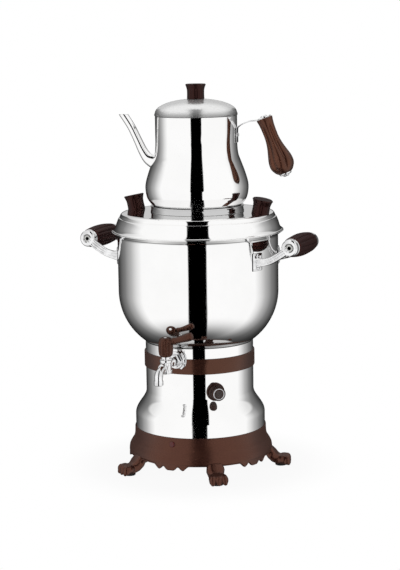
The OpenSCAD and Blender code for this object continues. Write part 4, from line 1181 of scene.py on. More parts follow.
    def lamp(self) -> None:
        """The domed red lens at the front."""
        r, rim, rise = 4, 4.5, 1.35
        dome = [(r * math.cos(a), rim + rise * math.sin(a)) for a in np.linspace(0.1, 1.4, 7)]
        lens = Blank().lathe([(0, 0), (r, 0), (r, rim - 0.1)] + dome + [(0, rim + rise)],
                             outward(0, self.top_r - 3.6, self.lamp_z), 36)
        lens.fit("lamp_lens", Look.LENS, "urn", "red_lens", "pilot_lamp_lens")

    def build(self) -> None:
        """Builds and dresses the base."""
        self.ring()
        self.feet()
        self.fasteners()
        self.lamp()
        dress_nodes(Look.ZINC, "bottom_plate", "foot_screws", "tie_rod", "tie_rod_nut")
        dress_nodes(Look.CERAMIC, "pilot_lamp_body")


@dataclass
class Pedestal:
    """Pedestal shell and the brown band around its neck."""

    foot_r: float = 90.5  # radius of the wide lower part
    neck_r: float = 75  # radius of the neck
    wall: float = 1  # thickness of the sheet
    band_low: float = 144  # lower edge of the band
    band_high: float = 165  # its upper edge
    band_out: float = 1.9  # how far it stands out from the neck

    def line(self) -> Outline:
        """The shell's outer line from the base up."""
        return ([(self.foot_r, Z.shell + up) for up in (0, 6, 11, 17)]
                + s_blend(self.foot_r, Z.shoulder, self.neck_r, Z.neck, 36)
                + [(self.neck_r, z) for z in (118, 140, 160, Z.neck_top)])

    def build(self) -> None:
        """Builds and dresses the shell and the band."""
        shell = Blank().lathe(sheet_outline(self.line(), self.wall), steps=192, wrap=True)
        shell.fit("pedestal_sheet", Look.BRIGHT, "urn", "polished_steel", "pedestal_shell",
                  crease=60)
        near, out = self.neck_r + 0.05, self.neck_r + self.band_out
        low, high = self.band_low, self.band_high
        edge = rounded([(near, low), (out, low), (out, high), (near, high)], 0.7)
        band = Blank().lathe(edge, steps=160, wrap=True)
        band.fit("brown_band", Look.BAND, "urn", "brown_moulding", "neck_band")


@dataclass
class Tank:
    """Water tank: round lower corner, straight wall, flared and rolled rim."""

    radius: float = 111  # radius of the upright wall
    corner_r: float = 85.4  # radius of the round lower corner
    rim_out: float = 7.7  # how far the rim flares out
    wall: float = 1  # thickness of the sheet

    def line(self) -> Outline:
        """Draws the tank's outer line.

        Returns:
            Its points, from the middle of the bottom to the rim.
        """
        middle, drop = self.radius - self.corner_r, Z.corner - Z.tank
        flat = middle + math.sqrt(self.corner_r ** 2 - drop ** 2)
        start = math.acos(drop / self.corner_r)
        arc = [(middle + self.corner_r * math.sin(a), Z.corner - self.corner_r * math.cos(a))
               for a in np.linspace(start, math.pi / 2, 48)]
        upright = [(self.radius, z) for z in (262, 280, 300, 318, 324)]
        flare = [(self.radius + self.rim_out * t, Z.rim + (Z.rim_top - Z.rim) * t)
                 for t in (0.02, 0.1, 0.25, 0.45, 0.65, 0.85, 0.97)]
        return [(0, Z.tank), (flat - 20, Z.tank), (flat - 3, Z.tank)] + arc + upright + flare

    def build(self) -> None:
        """Builds and dresses the tank."""
        outer = self.line()
        inner = beside(outer, self.wall)[:0:-1] + [(0, Z.tank + self.wall)]
        r, z = self.radius + self.rim_out, Z.rim_top
        bead = [(r, z), (r - 0.15, z + 0.55), (r - 0.6, z + 0.7)]
        body = Blank().lathe(outer + bead + inner, steps=224)
        body.fit("tank_sheet", Look.BOWL, "urn", "polished_steel", "tank", crease=60)


@dataclass
class SideHandles:
    """Two side handles: cast bright brackets, ribbed dark grips, end screws and rivets."""

    grip_x: float = 152  # distance of a grip's axis from the middle
    half: float = 33  # half the distance between the two brackets
    grip_r: float = 15.2  # radius of a grip's belly
    end_r: float = 12.8  # radius of its ends
    boss_r: float = 11.4  # radius of a bracket's boss
    arm_w: float = 8  # width of its arm
    tank_r: float = Tank.radius  # radius of the wall behind its pad
    pad_w: float = 18  # width of the pad
    pad_h: float = 24  # height of the pad
    pad_drop: float = 21  # how far its middle lies below the grip's axis

    @property
    def arm_y(self) -> float:
        """Distance of a bracket from the handle's middle."""
        return self.half + self.arm_w / 2

    @property
    def pad_az(self) -> float:
        """Azimuth of a bracket's pad off the handle's own."""
        return math.degrees(math.asin(self.arm_y / self.tank_r))

    def arm(self, b: Blank, place: Matrix) -> None:
        """Adds a bracket's curved arm with its three ribs.

        Args:
            b: the blank that it goes to.
            place: its frame, +X away from the tank.
        """
        foot = Z.grip - self.pad_drop
        path = smooth([(105, 0, foot - 0.7), (113, 0, foot - 0.2), (124, 0, foot + 2.7),
                       (134, 0, foot + 8.1), (143, 0, foot + 14.1), (149.5, 0, Z.grip - 1.6)], 5)
        half = self.arm_w / 2
        tall = sizes_along(len(path), (0, 0.2, 0.5, 0.8, 1), (7.4, 5.4, 4.9, 5.3, 5.8))
        b.sweep(path, [(half - 0.7, h - 0.4) for h in tall], (0, 1, 0), place, 28, 4)
        for lift in (-0.64, 0.0, 0.64):
            rail = [tuple(np.array(p) + lift * h * np.cross(t, (0, 1, 0)))
                    for p, t, h in zip(path, headings(path), tall)]
            b.sweep(rail, [(half, 0.34 * h) for h in tall], (0, 1, 0), place, 24, 2.6)

    def boss(self, b: Blank, place: Matrix) -> None:
        """Adds the boss that holds one end of a grip.

        Args:
            b: the blank that it goes to.
            place: its frame, +Z out along the grip's axis.
        """
        r, half = self.boss_r, self.arm_w / 2
        b.lathe(rounded([(0, -1.6), (5.2, -1.6), (5.2, half - 1.8), (6.4, half), (r - 1.6, half),
                         (r, half - 1.4), (r, 0.6 - half), (r + 0.6, -half),
                         (r + 0.6, -half - 1.4), (0, -half - 1.4)], 0.7), place, 48)

    def plate(self, b: Blank, place: Matrix) -> None:
        """Adds the pad that is riveted to the tank's wall.

        Args:
            b: the blank that it goes to.
            place: a turn that brings it from the front to its azimuth.
        """
        wide, high = self.pad_w / 2, self.pad_h / 2
        edge = rounded([(-wide, -high), (wide, -high), (wide, high), (-wide, high)], 2.5, 4)
        layers = [(0.06, 1), (1.1, 1), (1.5, 0.94), (1.5, 0.6)]
        b.rings([[around(math.degrees(x * grow / (self.tank_r + out)), self.tank_r + out,
                         Z.grip - self.pad_drop + z * grow) for x, z in edge]
                 for out, grow in layers], place)

    def bracket(self, b: Blank, side: int, end: int) -> None:
        """Adds one bracket.

        Args:
            b: the blank that it goes to.
            side: -1 for the left handle, 1 for the right one.
            end: -1 for the handle's front end, 1 for its rear end.
        """
        mirror = Matrix.Diagonal((side, 1, 1, 1))
        y = end * self.arm_y
        self.arm(b, mirror @ shift(0, y, 0))
        self.boss(b, mirror @ shift(self.grip_x, y, Z.grip) @ spin(-90 * end, "X"))
        self.plate(b, mirror @ spin(90 + end * self.pad_az))

    def grip(self, side: int) -> bpy.types.Object:
        """Turns and flutes one grip.

        Args:
            side: -1 for the left handle, 1 for the right one.

        Returns:
            The grip, in its place.
        """
        r, half = self.end_r, self.half - 1.5
        belly = [(r + (self.grip_r - r) * math.cos(math.pi / 2 * u) ** 0.8, half * u)
                 for u in np.linspace(-0.95, 0.95, 39)]
        line = ([(0, -half), (r - 0.6, -half), (r, 0.6 - half)] + belly
                + [(r, half - 0.6), (r - 0.6, half), (0, half)])
        blank = Blank().lathe(line, steps=192).finish("grip")
        fluting().run(blank, Look.SIDE, Count=12, Depth=1.5 * MM, Power=2.2, Low=-30 * MM,
                      High=30 * MM, Fade=5 * MM, Low_fade=5 * MM)
        return move(blank, shift(side * self.grip_x, 0, Z.grip) @ spin(-90, "X"))

    def rivets(self) -> None:
        """Rivet heads on the pads."""
        spots = [around(side + end * self.pad_az, self.tank_r + 1.55, Z.grip - self.pad_drop + up)
                 for side in (90, -90) for end in (-1, 1) for up in (-8, 8)]
        heads = riveting().run(line_object("pad_rivets", spots, False), Look.CHROME,
                               Radius=3.0 * MM, Height=1.0 * MM)
        seat(heads, "urn", "chrome_plate", "handle_rivets")

    def end_screws(self) -> None:
        """Recessed end screws with a hexagon socket."""
        b = Blank()
        cap = rounded([(0, 0.1), (5, 0.1), (5, 0.9), (4.2, 1.4), (2.9, 1.4)], 0.3, closed=False)
        socket = [(2.9, 1.4), (2.6, 1.1), (2.6, 0.3), (0, 0.3)]
        y = self.arm_y + self.arm_w / 2 - 2
        for side, end in ((-1, -1), (-1, 1), (1, -1), (1, 1)):
            place = shift(side * self.grip_x, end * y, Z.grip) @ spin(-90 * end, "X")
            b.lathe(cap, place, 36)
            b.lathe(socket, place, 6)
        b.fit("end_screws", Look.ZINC, "urn", "zinc_steel", "handle_end_screws")

    def build(self) -> None:
        """Builds and dresses both handles."""
        for side, word in ((-1, "left"), (1, "right")):
            b = Blank()
            for end in (-1, 1):
                self.bracket(b, side, end)
            b.fit(word + "_brackets", Look.CHROME, "urn", "chrome_plate", word + "_handle_arms",
                  crease=40)
            grip = self.grip(side)
            grip.name = word + "_ribbed_grip"
            seat(grip, "urn", "dark_plastic", word + "_handle_grip")
        self.rivets()
        self.end_screws()
        dress_nodes(Look.ZINC, "handle_rods")


@dataclass
class Tap:
    """Tap: flange, turned body with its spout, plug, fluted hub with its lever."""

    nut_r: float = 78.95  # where the hexagon starts, from the samovar's middle
    flange_r: float = 73.4  # where the flange starts
    pipe_r: float = 86  # where the pipe's outline has its zero
    plug_y: float = 107  # how far out the plug's axis is
    spout_y: float = 130  # how far out the spout's axis is
    mouth_z: float = 139.5  # height of the spout's mouth
    arm_dip: float = 21.4  # lean of the arm's collar, in degrees
    hub_z: float = 174.7  # height of the hub's foot
    hub_r: float = 10  # radius of the hub
    hub_h: float = 26  # height of the hub
    lever: float = 42  # length of the lever
    rise: float = 18  # how steeply the lever rises, in degrees

    @property
    def axis(self) -> Matrix:
        """The plug's upright axis."""
        return shift(0, -self.plug_y, 0)

    def body(self) -> None:
        """The bright body: pipe, hexagon, barrel, arm and spout."""
        b = Blank()
        pipe = rounded([(0, -47), (6, -47), (6, -25), (6, 2), (6.7, 3), (6.7, 5.5), (5.8, 6.5),
                        (5.6, 11), (6.3, 12), (6.3, 14), (5.6, 15), (5.6, 20), (6.6, 21.5),
                        (6.6, 26), (0, 26)], 0.5)
        b.lathe(pipe, outward(0, self.pipe_r, Z.tap), 48)
        b.lathe(rounded([(0, 0), (8.7, 0), (9.5, 0.9), (9.5, 5.1), (8.7, 6), (0, 6)], 0.2),
                outward(0, self.nut_r, Z.tap), 6)
        barrel = rounded([(0, 150.5), (5.4, 150.5), (6.6, 151.5), (6.6, 153), (8.2, 153),
                          (8.6, 153.8), (8.6, 155.6), (7.7, 156.6), (7.5, 163), (7.8, 166.4),
                          (8.6, 167.2), (8.6, 169.6), (8.1, 170.3), (5, 170.3), (0, 170.3)], 0.45)
        b.lathe(barrel, self.axis, 64)
        y = self.spout_y
        arm = smooth([(0, 18 - y, Z.tap - 2), (0, 11 - y, Z.tap - 4.7), (0, 5 - y, Z.tap - 7.2),
                      (0, 1.1 - y, Z.tap - 10.4), (0, -y, Z.tap - 15),
                      (0, -y, self.mouth_z + 6.5)], 6)
        wide = sizes_along(len(arm), (0, 4 / 15, 8 / 15, 1), (5.5, 5.4, 6.0, 5.6))
        b.sweep(arm, [(w, w) for w in wide], (1, 0, 0), steps=40)
        collar = rounded([(0, 8.4), (6.1, 8.4), (6.7, 9.2), (6.7, 11.0), (6.1, 11.8), (0, 11.8)],
                         0.4)
        b.lathe(collar, shift(0, -self.plug_y, Z.tap) @ spin(90 + self.arm_dip, "X"), 40)
        mouth = rounded([(3.4, 0), (5.9, 0), (6.5, 0.8), (6.5, 5.8), (5.9, 7), (5.7, 8),
                         (5.7, 12.4), (5.2, 13), (3.4, 13)], 0.45)
        b.lathe(mouth, shift(0, -y, self.mouth_z), 48, wrap=True)
        b.fit("tap_casting", Look.CHROME, "urn", "chrome_plate", "tap_body")

    def flange(self) -> None:
        """The dished flange against the neck."""
        line = rounded([(6.05, 0), (15.1, 0), (15.5, 0.5), (15.5, 2.4), (14.4, 3.1), (12, 3.3),
                        (11.4, 4.6), (6.05, 4.6)], 0.5)
        flange = Blank().lathe(line, outward(0, self.flange_r, Z.tap), 80, wrap=True)
        flange.fit("tap_collar", Look.CHROME, "urn", "chrome_plate", "tap_flange")

    def handle(self) -> None:
        """The fluted hub and the turned lever, moulded in one."""
        r, h = self.hub_r, self.hub_h
        line = smooth([(r * 0.72, 0), (r * 0.92, 3), (r, h * 0.36), (r * 0.98, h * 0.7),
                       (r * 0.8, h * 0.93), (r * 0.45, h)], 8)
        hub = Blank().lathe([(0, 0)] + line + [(3.1, h - 0.2), (3.0, h - 2.4), (0, h - 2.4)],
                            steps=192).finish("hub")
        fluting().run(hub, Look.LEVER, Count=9, Depth=1.8 * MM, Power=1.6, Low=1.2 * MM,
                      High=23 * MM, Fade=6 * MM, Low_fade=2 * MM)
        place = shift(0, -self.plug_y, self.hub_z)
        turned = rounded([(0, 0), (4.6, 0), (4.8, 7), (4.2, 9.5), (4.6, 12), (5.3, 13.5),
                          (4.6, 15.2), (4.4, 19), (5.0, 26), (5.7, 33), (5.8, 37), (5.2, 40.4),
                          (3.4, self.lever - 0.3), (0, self.lever + 0.5)], 1.6, 4)
        way = place @ shift(0, 0, h - 8.5) @ spin(90 - self.rise, "Y")
        arm = coat(Blank().lathe(turned, way, 48).finish("arm"), Look.LEVER)
        seat(join([move(hub, place), arm], "tap_lever_moulding"), "tap_lever", "red_brown_grip",
             "tap_handle")

    def plug(self) -> None:
        """The plug with its stem and collar, and the screw in the hub's top."""
        stem = rounded([(0, 155), (5, 155), (5, 170.2), (3.4, 170.2), (3.4, 171.5), (6.2, 171.5),
                        (6.2, 174.6), (3.4, 174.6), (3.4, 188), (0, 188)], 0.35)
        plug = Blank().lathe(stem, self.axis, 40)
        plug.fit("turned_plug", Look.CHROME, "tap_lever", "chrome_plate", "tap_plug")
        head = rounded([(0, 183.7), (1.5, 183.7), (1.5, 198.2), (3, 198.2), (3, 199.6),
                        (2.2, 200.4), (0, 200.4)], 0.4)
        screw = Blank().lathe(head, self.axis, 28)
        screw.fit("hub_screw", Look.CHROME, "tap_lever", "zinc_steel", "tap_handle_screw")

    def build(self) -> None:
        """Builds and dresses the tap."""
        self.body()
        self.flange()
        self.handle()
        self.plug()
        dress_nodes(Look.BRASS, "outlet_elbow", "outlet_nut", "tap_lock_nut")
        dress_nodes(Look.RUBBER, "tap_gasket")


@dataclass
class Thermostat:
    """Thermostat: bezel on the neck, turning knob with a bright ring, parts behind."""

    azimuth: float = 41  # degrees from -Y
    neck_r: float = Pedestal.neck_r  # radius of the wall behind it
    bezel_r: float = 12.5  # radius of the bezel
    dial_out: float = 3.5  # how far the knob's foot is from the wall
    dial_r: float = 10.4  # radius of the knob
    dial_h: float = 14  # height of the knob

    def at(self, out: float) -> Matrix:
        """A frame on the thermostat's axis, out from the neck's wall."""
        return outward(self.azimuth, self.neck_r + out, Z.dial)

    def bezel(self) -> None:
        """The plate on the neck."""
        r = self.bezel_r
        line = rounded([(5, -2.6), (r, -2.6), (r, 2.0), (r - 0.9, 3), (r - 1.9, 3),
                        (r - 2.2, 2.6), (5, 2.6)], 0.3)
        plate = Blank().lathe(line, self.at(0), 96, wrap=True)
        plate.fit("dial_plate", Look.BEZEL, "urn", "dark_plastic", "thermostat_bezel")

    def dial(self) -> None:
        """The milled knob with its face and pointer, and the bright ring around the face."""
        r, h = self.dial_r, self.dial_h
        line = [(0, 0), (r - 0.3, 0), (r, 0.4), (r, 1.4), (r - 0.7, 2.4), (r - 0.75, 5),
                (r - 0.8, 8), (r - 0.85, 11), (r - 0.9, h - 1.2), (r - 1.1, h - 0.5),
                (r - 1.6, h), (r - 2.1, h - 0.1), (r - 2.2, h - 1.2), (r - 4.2, h - 1.2),
                (r - 4.3, h - 0.2), (r - 4.8, h), (3, h - 0.3), (0, h - 0.5)]
        knob = Blank().lathe(line, steps=216).finish("knob")
        fluting().run(knob, Look.BEZEL, Count=24, Depth=0.5 * MM, Power=1.5, Low=2.2 * MM,
                      High=13 * MM, Fade=1 * MM, Low_fade=0.6 * MM)
        disc = rounded([(0, h - 0.9), (5.9, h - 0.9), (5.9, h - 0.1), (4.6, h), (0, h)], 0.25)
        face = coat(Blank().lathe(disc, steps=64).finish("face"), Look.DIAL)
        nub = rounded([(0, 0), (2.2, 0), (2.2, 1.6), (1.8, 2), (0, 2)], 0.3)
        tip = coat(Blank().lathe(nub, shift(0, r - 1, 0), 28).finish("tip"), Look.BEZEL)
        dial = move(join([knob, face, tip], "dial_knob"), self.at(self.dial_out))
        seat(dial, "thermostat_dial", "dark_plastic", "thermostat_knob")
        edge = rounded([(r - 4.15, h - 1.2), (r - 2.25, h - 1.2), (r - 2.3, h - 0.2),
                        (r - 2.8, h + 0.4), (r - 3.6, h + 0.4), (r - 4.1, h - 0.2)], 0.2)
        ring = Blank().lathe(edge, self.at(self.dial_out), 96, wrap=True)
        ring.fit("dial_ring", Look.TRIM, "thermostat_dial", "chrome_plate",
                 "thermostat_knob_ring")

    def build(self) -> None:
        """Builds and dresses the thermostat."""
        self.bezel()
        self.dial()
        dress_nodes(Look.CERAMIC, "thermostat_body")
        dress_nodes(Look.ZINC, "thermostat_nut", "thermostat_shaft")


@dataclass
class Electrics:
    """Heating element, leads, inlet and the small parts in the pedestal."""

    element_x: float = 25  # how far aside an element's leg is
    element_y: float = 18  # how far back it is
    loop_r: float = 44  # radius of the element's loop
    loop_up: float = 16  # height of the loop over the tank's bottom
    bend_r: float = 10  # radius of the bend between leg and loop
    tube_r: float = 4  # radius of the element's tube
    lead_r: float = 1.4  # radius of a lead
    inlet_az: float = 180  # azimuth of the power inlet

    def element(self) -> None:
        """The looped heating element, a tube along its centre line."""
        x, y, r, bend = self.element_x, self.element_y, self.loop_r, self.bend_r
        top = Z.tank + self.loop_up
        leg = [(x, y, Z.tank - 20), (x, y, Z.tank + 1)]
        corner = [(x + bend * (1 - math.cos(a)), y, top - bend * (1 - math.sin(a)))
                  for a in np.linspace(0, math.pi / 2, 11)]
        start = math.asin(y / r)
        turns = np.linspace(start - math.radians(16), -math.pi / 2, 34)
        half = leg + corner + [(r * math.cos(a), r * math.sin(a), top) for a in turns]
        path = half + [(-px, py, pz) for px, py, pz in half[-2::-1]]
        tube = tubing().run(line_object("heating_loop", path), Look.ELEMENT,
                            Radius=self.tube_r * MM, Sides=24)
        seat(tube, "urn", "element_steel", "heating_element")

    def pin_back(self, x: float, r: float, z: float) -> Point3:
        """A point behind one of the inlet's pins, at x across from the middle one."""
        a = math.radians(self.inlet_az)
        return (r * math.sin(a) + x * math.cos(a), x * math.sin(a) - r * math.cos(a), z)

    def leads(self) -> None:
        """Three insulated leads, on given routes."""
        back, low = 61.2, 69  # radius and height of the pins' rear ends
        leg, body = Z.tank - 20.3, 106.2  # heights of the element's legs and the thermostat's foot
        ex, ey = self.element_x, self.element_y
        routes = [
            [self.pin_back(-7, back, low), self.pin_back(-7, back - 8, low),
             around(110, 50, low + 2), around(70, 52, body - 26), around(46, 65, body - 8),
             around(46, 65, body)],
            [self.pin_back(7, back, low), self.pin_back(7, back - 8, low),
             around(205, 46, low + 18), (-ex, ey, leg - 8), (-ex, ey, leg)],
            [around(37, 65, body), around(37, 65, body - 8), around(62, 40, body - 6),
             around(100, 32, leg - 22), (ex, ey, leg - 8), (ex, ey, leg)]]
        tubes = [tubing().run(line_object("lead", bent(route, 10)), Look.WIRE,
                              Radius=self.lead_r * MM, Sides=14) for route in routes]
        seat(join(tubes, "insulated_leads"), "urn", "wire", "wiring")

    def build(self) -> None:
        """Builds and dresses the electric parts."""
        self.element()
        self.leads()
        dress_nodes(Look.BRASS, "element_nuts")
        dress_nodes(Look.SEAL, "element_gaskets")
        dress_nodes(Look.CERAMIC, "thermal_cutout")
        dress_nodes(Look.BLACK, "power_inlet")
        dress_nodes(Look.PINS, "inlet_pins")
        dress_nodes(Look.ZINC, "inlet_screws")


@dataclass
class Knob:
    """Dark moulded knob: waisted body with shallow flutes and a flared, dished top."""

    top_r: float = 14  # radius of its top
    body_r: float = 12.2  # radius of its waist
    height: float = 20  # its height

    def make(self, place: Matrix, name: str) -> bpy.types.Object:
        """Turns and flutes one knob.

        Args:
            place: its frame, +Z up its axis.
            name: its name.

        Returns:
            The knob.
        """
        r, t, h = self.body_r, self.top_r, self.height
        side = smooth([(r * 0.98, 0), (r * 0.96, h * 0.3), (r * 0.98, h * 0.62),
                       (t - 0.7, h * 0.86), (t, h - 1.3), (t - 1, h)], 8)
        line = [(0, 0), (r * 0.9, 0)] + side + [(t - 1.8, h - 0.1), (t - 3, h - 0.6),
                                               (t * 0.4, h - 1.0), (0, h - 1.1)]
        knob = Blank().lathe(line, steps=160).finish(name)
        fluting().run(knob, Look.KNOB, Count=10, Depth=0.55 * MM, Power=2.4, Low=1 * MM,
                      High=16 * MM, Fade=4 * MM, Low_fade=1 * MM)
        return move(knob, place)


@dataclass
class Lid:
    """Main lid with its steam opening, locating ring, collar and two knobs."""

    seam_r: float = 107.6  # radius of the groove between skirt and crown
    edge_r: float = 117.7  # radius of the lower edge
    steam_r: float = 46  # radius of the steam opening
    ring_r: float = 109.2  # radius of the locating ring
    ring_drop: float = 12  # how far it reaches below the tank's flare
    collar_r: float = 64.6  # radius of the collar
    collar_hole: float = 47  # radius of the collar's opening
    knob_x: float = 94  # how far out a knob stands
    lean: float = 12  # how far a knob leans out, in degrees
    wall: float = 1  # thickness of the sheet

    def line(self) -> Outline:
        """Draws the lid's outer line.

        Returns:
            Its points, from the edge to the steam opening.
        """
        s, e, z, seam, top = self.seam_r, self.edge_r, Z.lid, Z.lid_seam, Z.lid_top
        hem = [(e - 0.1, z), (e, z + 0.2), (e - 0.3, z + 0.6), (e - 1.2, z + 1.2)]
        skirt = smooth([(e - 2.1, z + 1.8), (s + 6, z + 5), (s + 4, z + 11.5),
                        (s + 1.8, seam - 2.4), (s + 0.7, seam - 0.9)], 6)
        groove = [(s + 0.1, seam - 0.7), (s - 0.6, seam - 0.5), (s - 0.8, seam - 0.1),
                  (s - 0.5, seam + 0.3)]
        crown = smooth([(s - 0.3, seam + 0.6), (s - 1.2, seam + 2.9), (s - 3.2, seam + 5.1),
                        (s - 7, top - 0.2), (s - 14, top), (s - 24, top)], 6)
        return hem + skirt + groove + crown + [(60, top), (self.steam_r, top)]

    def sheet(self) -> None:
        """The pressed lid and the ring under it that keeps it in the tank's mouth."""
        lid = Blank().lathe(sheet_outline(self.line(), self.wall), steps=224, wrap=True)
        lid.fit("lid_sheet", Look.BRIGHT, "lid", "polished_steel", "main_lid", crease=50)
        r, out, z, low = self.ring_r, self.seam_r + 4.2, Z.lid, Z.rim - self.ring_drop
        ring = [(r, low), (r, z + 3.4), (r + 0.6, z + 4), (out, z + 4), (out, z + 4.8),
                (r - 0.2, z + 4.8), (r - 0.8, z + 4.2), (r - 0.8, low)]
        inner = Blank().lathe(ring, steps=160, wrap=True)
        inner.fit("locating_ring_sheet", Look.INNER, "lid", "polished_steel",
                  "lid_locating_ring")

    def collar(self) -> None:
        """The raised collar that the teapot stands on."""
        c, hole, low, top = self.collar_r, self.collar_hole, Z.lid_top + 0.05, Z.collar_top
        outer = [(hole, low), (c - 0.5, low), (c, low + 0.5), (c - 0.15, low + 1.6),
                 (c - 0.6, low + 3), (c - 0.6, top - 2.6), (c - 0.1, top - 1.2),
                 (c - 0.5, top - 0.3), (c - 1.3, top), (hole, top)]
        inner = [(hole, top - 1), (c - 1.6, top - 1), (c - 1.7, top - 2.4), (c - 1.7, low + 2),
                 (c - 2.2, low + 1), (hole, low + 1)]
        collar = Blank().lathe(rounded(outer + inner, 0.5), steps=192, wrap=True)
        # its finish is the steel greyed as painted shade
        collar.fit("collar_sheet", Look.SEAM, "lid", "polished_steel", "lid_collar")

    def knob(self, side: int, word: str) -> None:
        """One leaning knob, its foot cut level with the lid.

        Args:
            side: -1 for the left knob, 1 for the right one.
            word: which of them it is.
        """
        place = shift(side * self.knob_x, 0, Z.lid_top) @ spin(side * self.lean, "Y")
        knob = Knob().make(place, word + "_dark_knob")
        foot = Blank().lathe([(0, -2.2), (11.9, -2.2), (11.95, 0.3), (0, 0.3)], place, 64)
        sole = coat(foot.finish("foot"), Look.KNOB)
        for v in sole.data.vertices:
            v.co.z = max(v.co.z, (Z.lid_top + 0.05) * MM)
        seat(join([knob, sole], word + "_dark_knob"), "lid", "black_plastic",
             word + "_lid_knob")

    def build(self) -> None:
        """Builds and dresses the lid."""
        self.sheet()
        self.collar()
        self.knob(-1, "left")
        self.knob(1, "right")
        dress_nodes(Look.ZINC, "lid_knob_screws")


@dataclass
class Teapot:
    """Teapot: spun body, drawn spout, strap, fluted pear-shaped grip with its cap and bolt."""

    turn: float = 13  # its turn about the upright axis, in degrees
    neck_r: float = 56.2  # radius of the neck
    belly_r: float = 71  # radius of the belly
    height: float = 122  # height of the body
    mouth_z: float = 123.7  # height of the spout's mouth over the pot's foot
    spout_x: float = 102  # how far out the mouth is
    plate_z: float = 95.5  # height of the strap's rivets
    pear_out: float = 38.5  # how far the grip's top is from the neck
    pear_z: float = 118  # height of the grip's top
    pear_l: float = 82  # length of the grip with its cap
    pear_r: float = 17.3  # its radius
    lean: float = 21  # how far it leans, in degrees
    wall: float = 1  # thickness of the body's sheet
    spout_wall: float = 1.2  # thickness of the spout's
    strap_up: float = 1.1  # height of the strap over the grip's top

    @property
    def place(self) -> Matrix:
        """The teapot's own frame, +X towards its handle."""
        return spin(self.turn) @ shift(0, 0, Z.pot)

    @property
    def pear(self) -> Matrix:
        """The grip's frame: +Z runs from its low end to its top."""
        return (self.place @ shift(self.neck_r + self.pear_out, 0, self.pear_z)
                @ spin(-self.lean, "Y"))

    def line(self) -> Outline:
        """The body's outer line from its base to its rim."""
        n, b = self.neck_r, self.belly_r
        return smooth([(0.9 * b - 3, 0), (0.9 * b, 2.6), (0.972 * b, 11), (b, 23),
                       (0.985 * b, 33), (0.93 * b, 46), (n + 5.4, 58), (n + 1.4, 69),
                       (n, 82), (n, 100), (n, self.height - 1)], 10)

    def body(self) -> None:
        """The spun body with its rolled rim."""
        outer, wall = self.line(), self.wall
        inner = beside(outer, wall)[:1:-1]
        n, h = self.neck_r, self.height
        bead = [(n, h - 0.4), (n - 0.3, h), (n - 0.8, h), (n - wall, h - 0.4)]
        pot = Blank().lathe([(0, 0), (50, 0), (60, 0)] + outer + bead + inner
                            + [(60, wall), (0, wall)], self.place, 224)
        pot.fit("teapot_sheet", Look.BRIGHT, "teapot", "polished_steel", "teapot_body",
                crease=60)

    def spout_ring(self, at: Point2, way: np.ndarray, radius: float,
                   pull: float) -> list[Point3]:
        """Draws one ring of the spout, no part of it above the mouth.

        Args:
            at: the ring's middle.
            way: the spout's direction there.
            radius: the ring's radius.
            pull: how far its lower points slide on to the mouth, 0 for none and 1 for all the way.

        Returns:
            The ring's points.
        """
        ring = []
        for a in np.linspace(0, 2 * math.pi, 40, endpoint=False):
            x = at[0] - way[1] * radius * math.cos(a)
            z = at[1] + way[0] * radius * math.cos(a)
            lift = (self.mouth_z - z) * (1 if z > self.mouth_z else pull)
            ring.append((x + lift * way[0] / max(way[1], 0.3), radius * math.sin(a), z + lift))
        return ring

    def spout(self) -> None:
        """The curved spout, open at its mouth, which is cut level."""
        n = self.neck_r
        level_from = 0.93  # share of the spout's length past which it is pulled level
        path = smooth([(-n - 2, 57), (-n - 12, 63), (-n - 19.5, 74), (-n - 27, 90),
                       (-n - 35.5, 107.5), (-self.spout_x, self.mouth_z)], 10)
        outside, inside = [], []
        for i, (at, way) in enumerate(zip(path, headings(path))):
            u = i / (len(path) - 1)
            radius = 5.3 + 4.6 * (1 - 5 * u / 6) ** 3.5 + 0.6 * (5 * u / 6) ** 4
            pull = max(0.0, (u - level_from) / (1 - level_from))
            outside.append(self.spout_ring(at, way, radius, pull))
            inside.append(self.spout_ring(at, way, radius - self.spout_wall, pull))
        spout = Blank().rings(outside + inside[::-1], self.place, wrap=True)
        spout.fit("drawn_spout", Look.BRIGHT, "teapot", "polished_steel", "teapot_spout",
                  crease=50)

    def over_pear(self, u: float) -> Point2:
        """A point of the strap over the grip's top, at u from its middle towards the pot."""
        a, h = math.radians(self.lean), self.strap_up
        return (self.neck_r + self.pear_out - u * math.cos(a) - h * math.sin(a),
                self.pear_z - u * math.sin(a) + h * math.cos(a))

    def strap(self) -> None:
        """The bent strap with its eye over the grip, and its rivets."""
        x, z = self.neck_r + 0.75, self.plate_z
        near = self.over_pear(11.5)
        line = smooth([(x, z - 10), (x, z + 7), (x + 1.6, z + 10.8), (x + 6.5, z + 14.4),
                       (near[0] - 10, near[1] - 1.2), near, self.over_pear(5)], 8)
        wide = sizes_along(len(line), (0, 0.12, 0.4, 1), (6.4, 7, 6.4, 5.6))
        b = Blank().sweep([(px, 0, pz) for px, pz in line], [(w, 0.7) for w in wide], (0, 1, 0),
                          self.place, 32, 4.5)
        eye = rounded([(2.55, 0.3), (9.5, 0.3), (9.5, 1.9), (2.55, 1.9)], 0.4)
        b.lathe(eye, self.pear, 64, wrap=True)
        b.fit("bent_strap", Look.CHROME, "teapot", "polished_steel", "teapot_strap", crease=40)
        spots = [around(90 + self.turn + aside, self.neck_r + 1.75, Z.pot + z)
                 for aside in (-4.2, 4.2)]
        heads = riveting().run(line_object("strap_rivets", spots, False), Look.CHROME,
                               Radius=2.6 * MM, Height=1.0 * MM)
        seat(heads, "teapot", "chrome_plate", "teapot_strap_rivets")

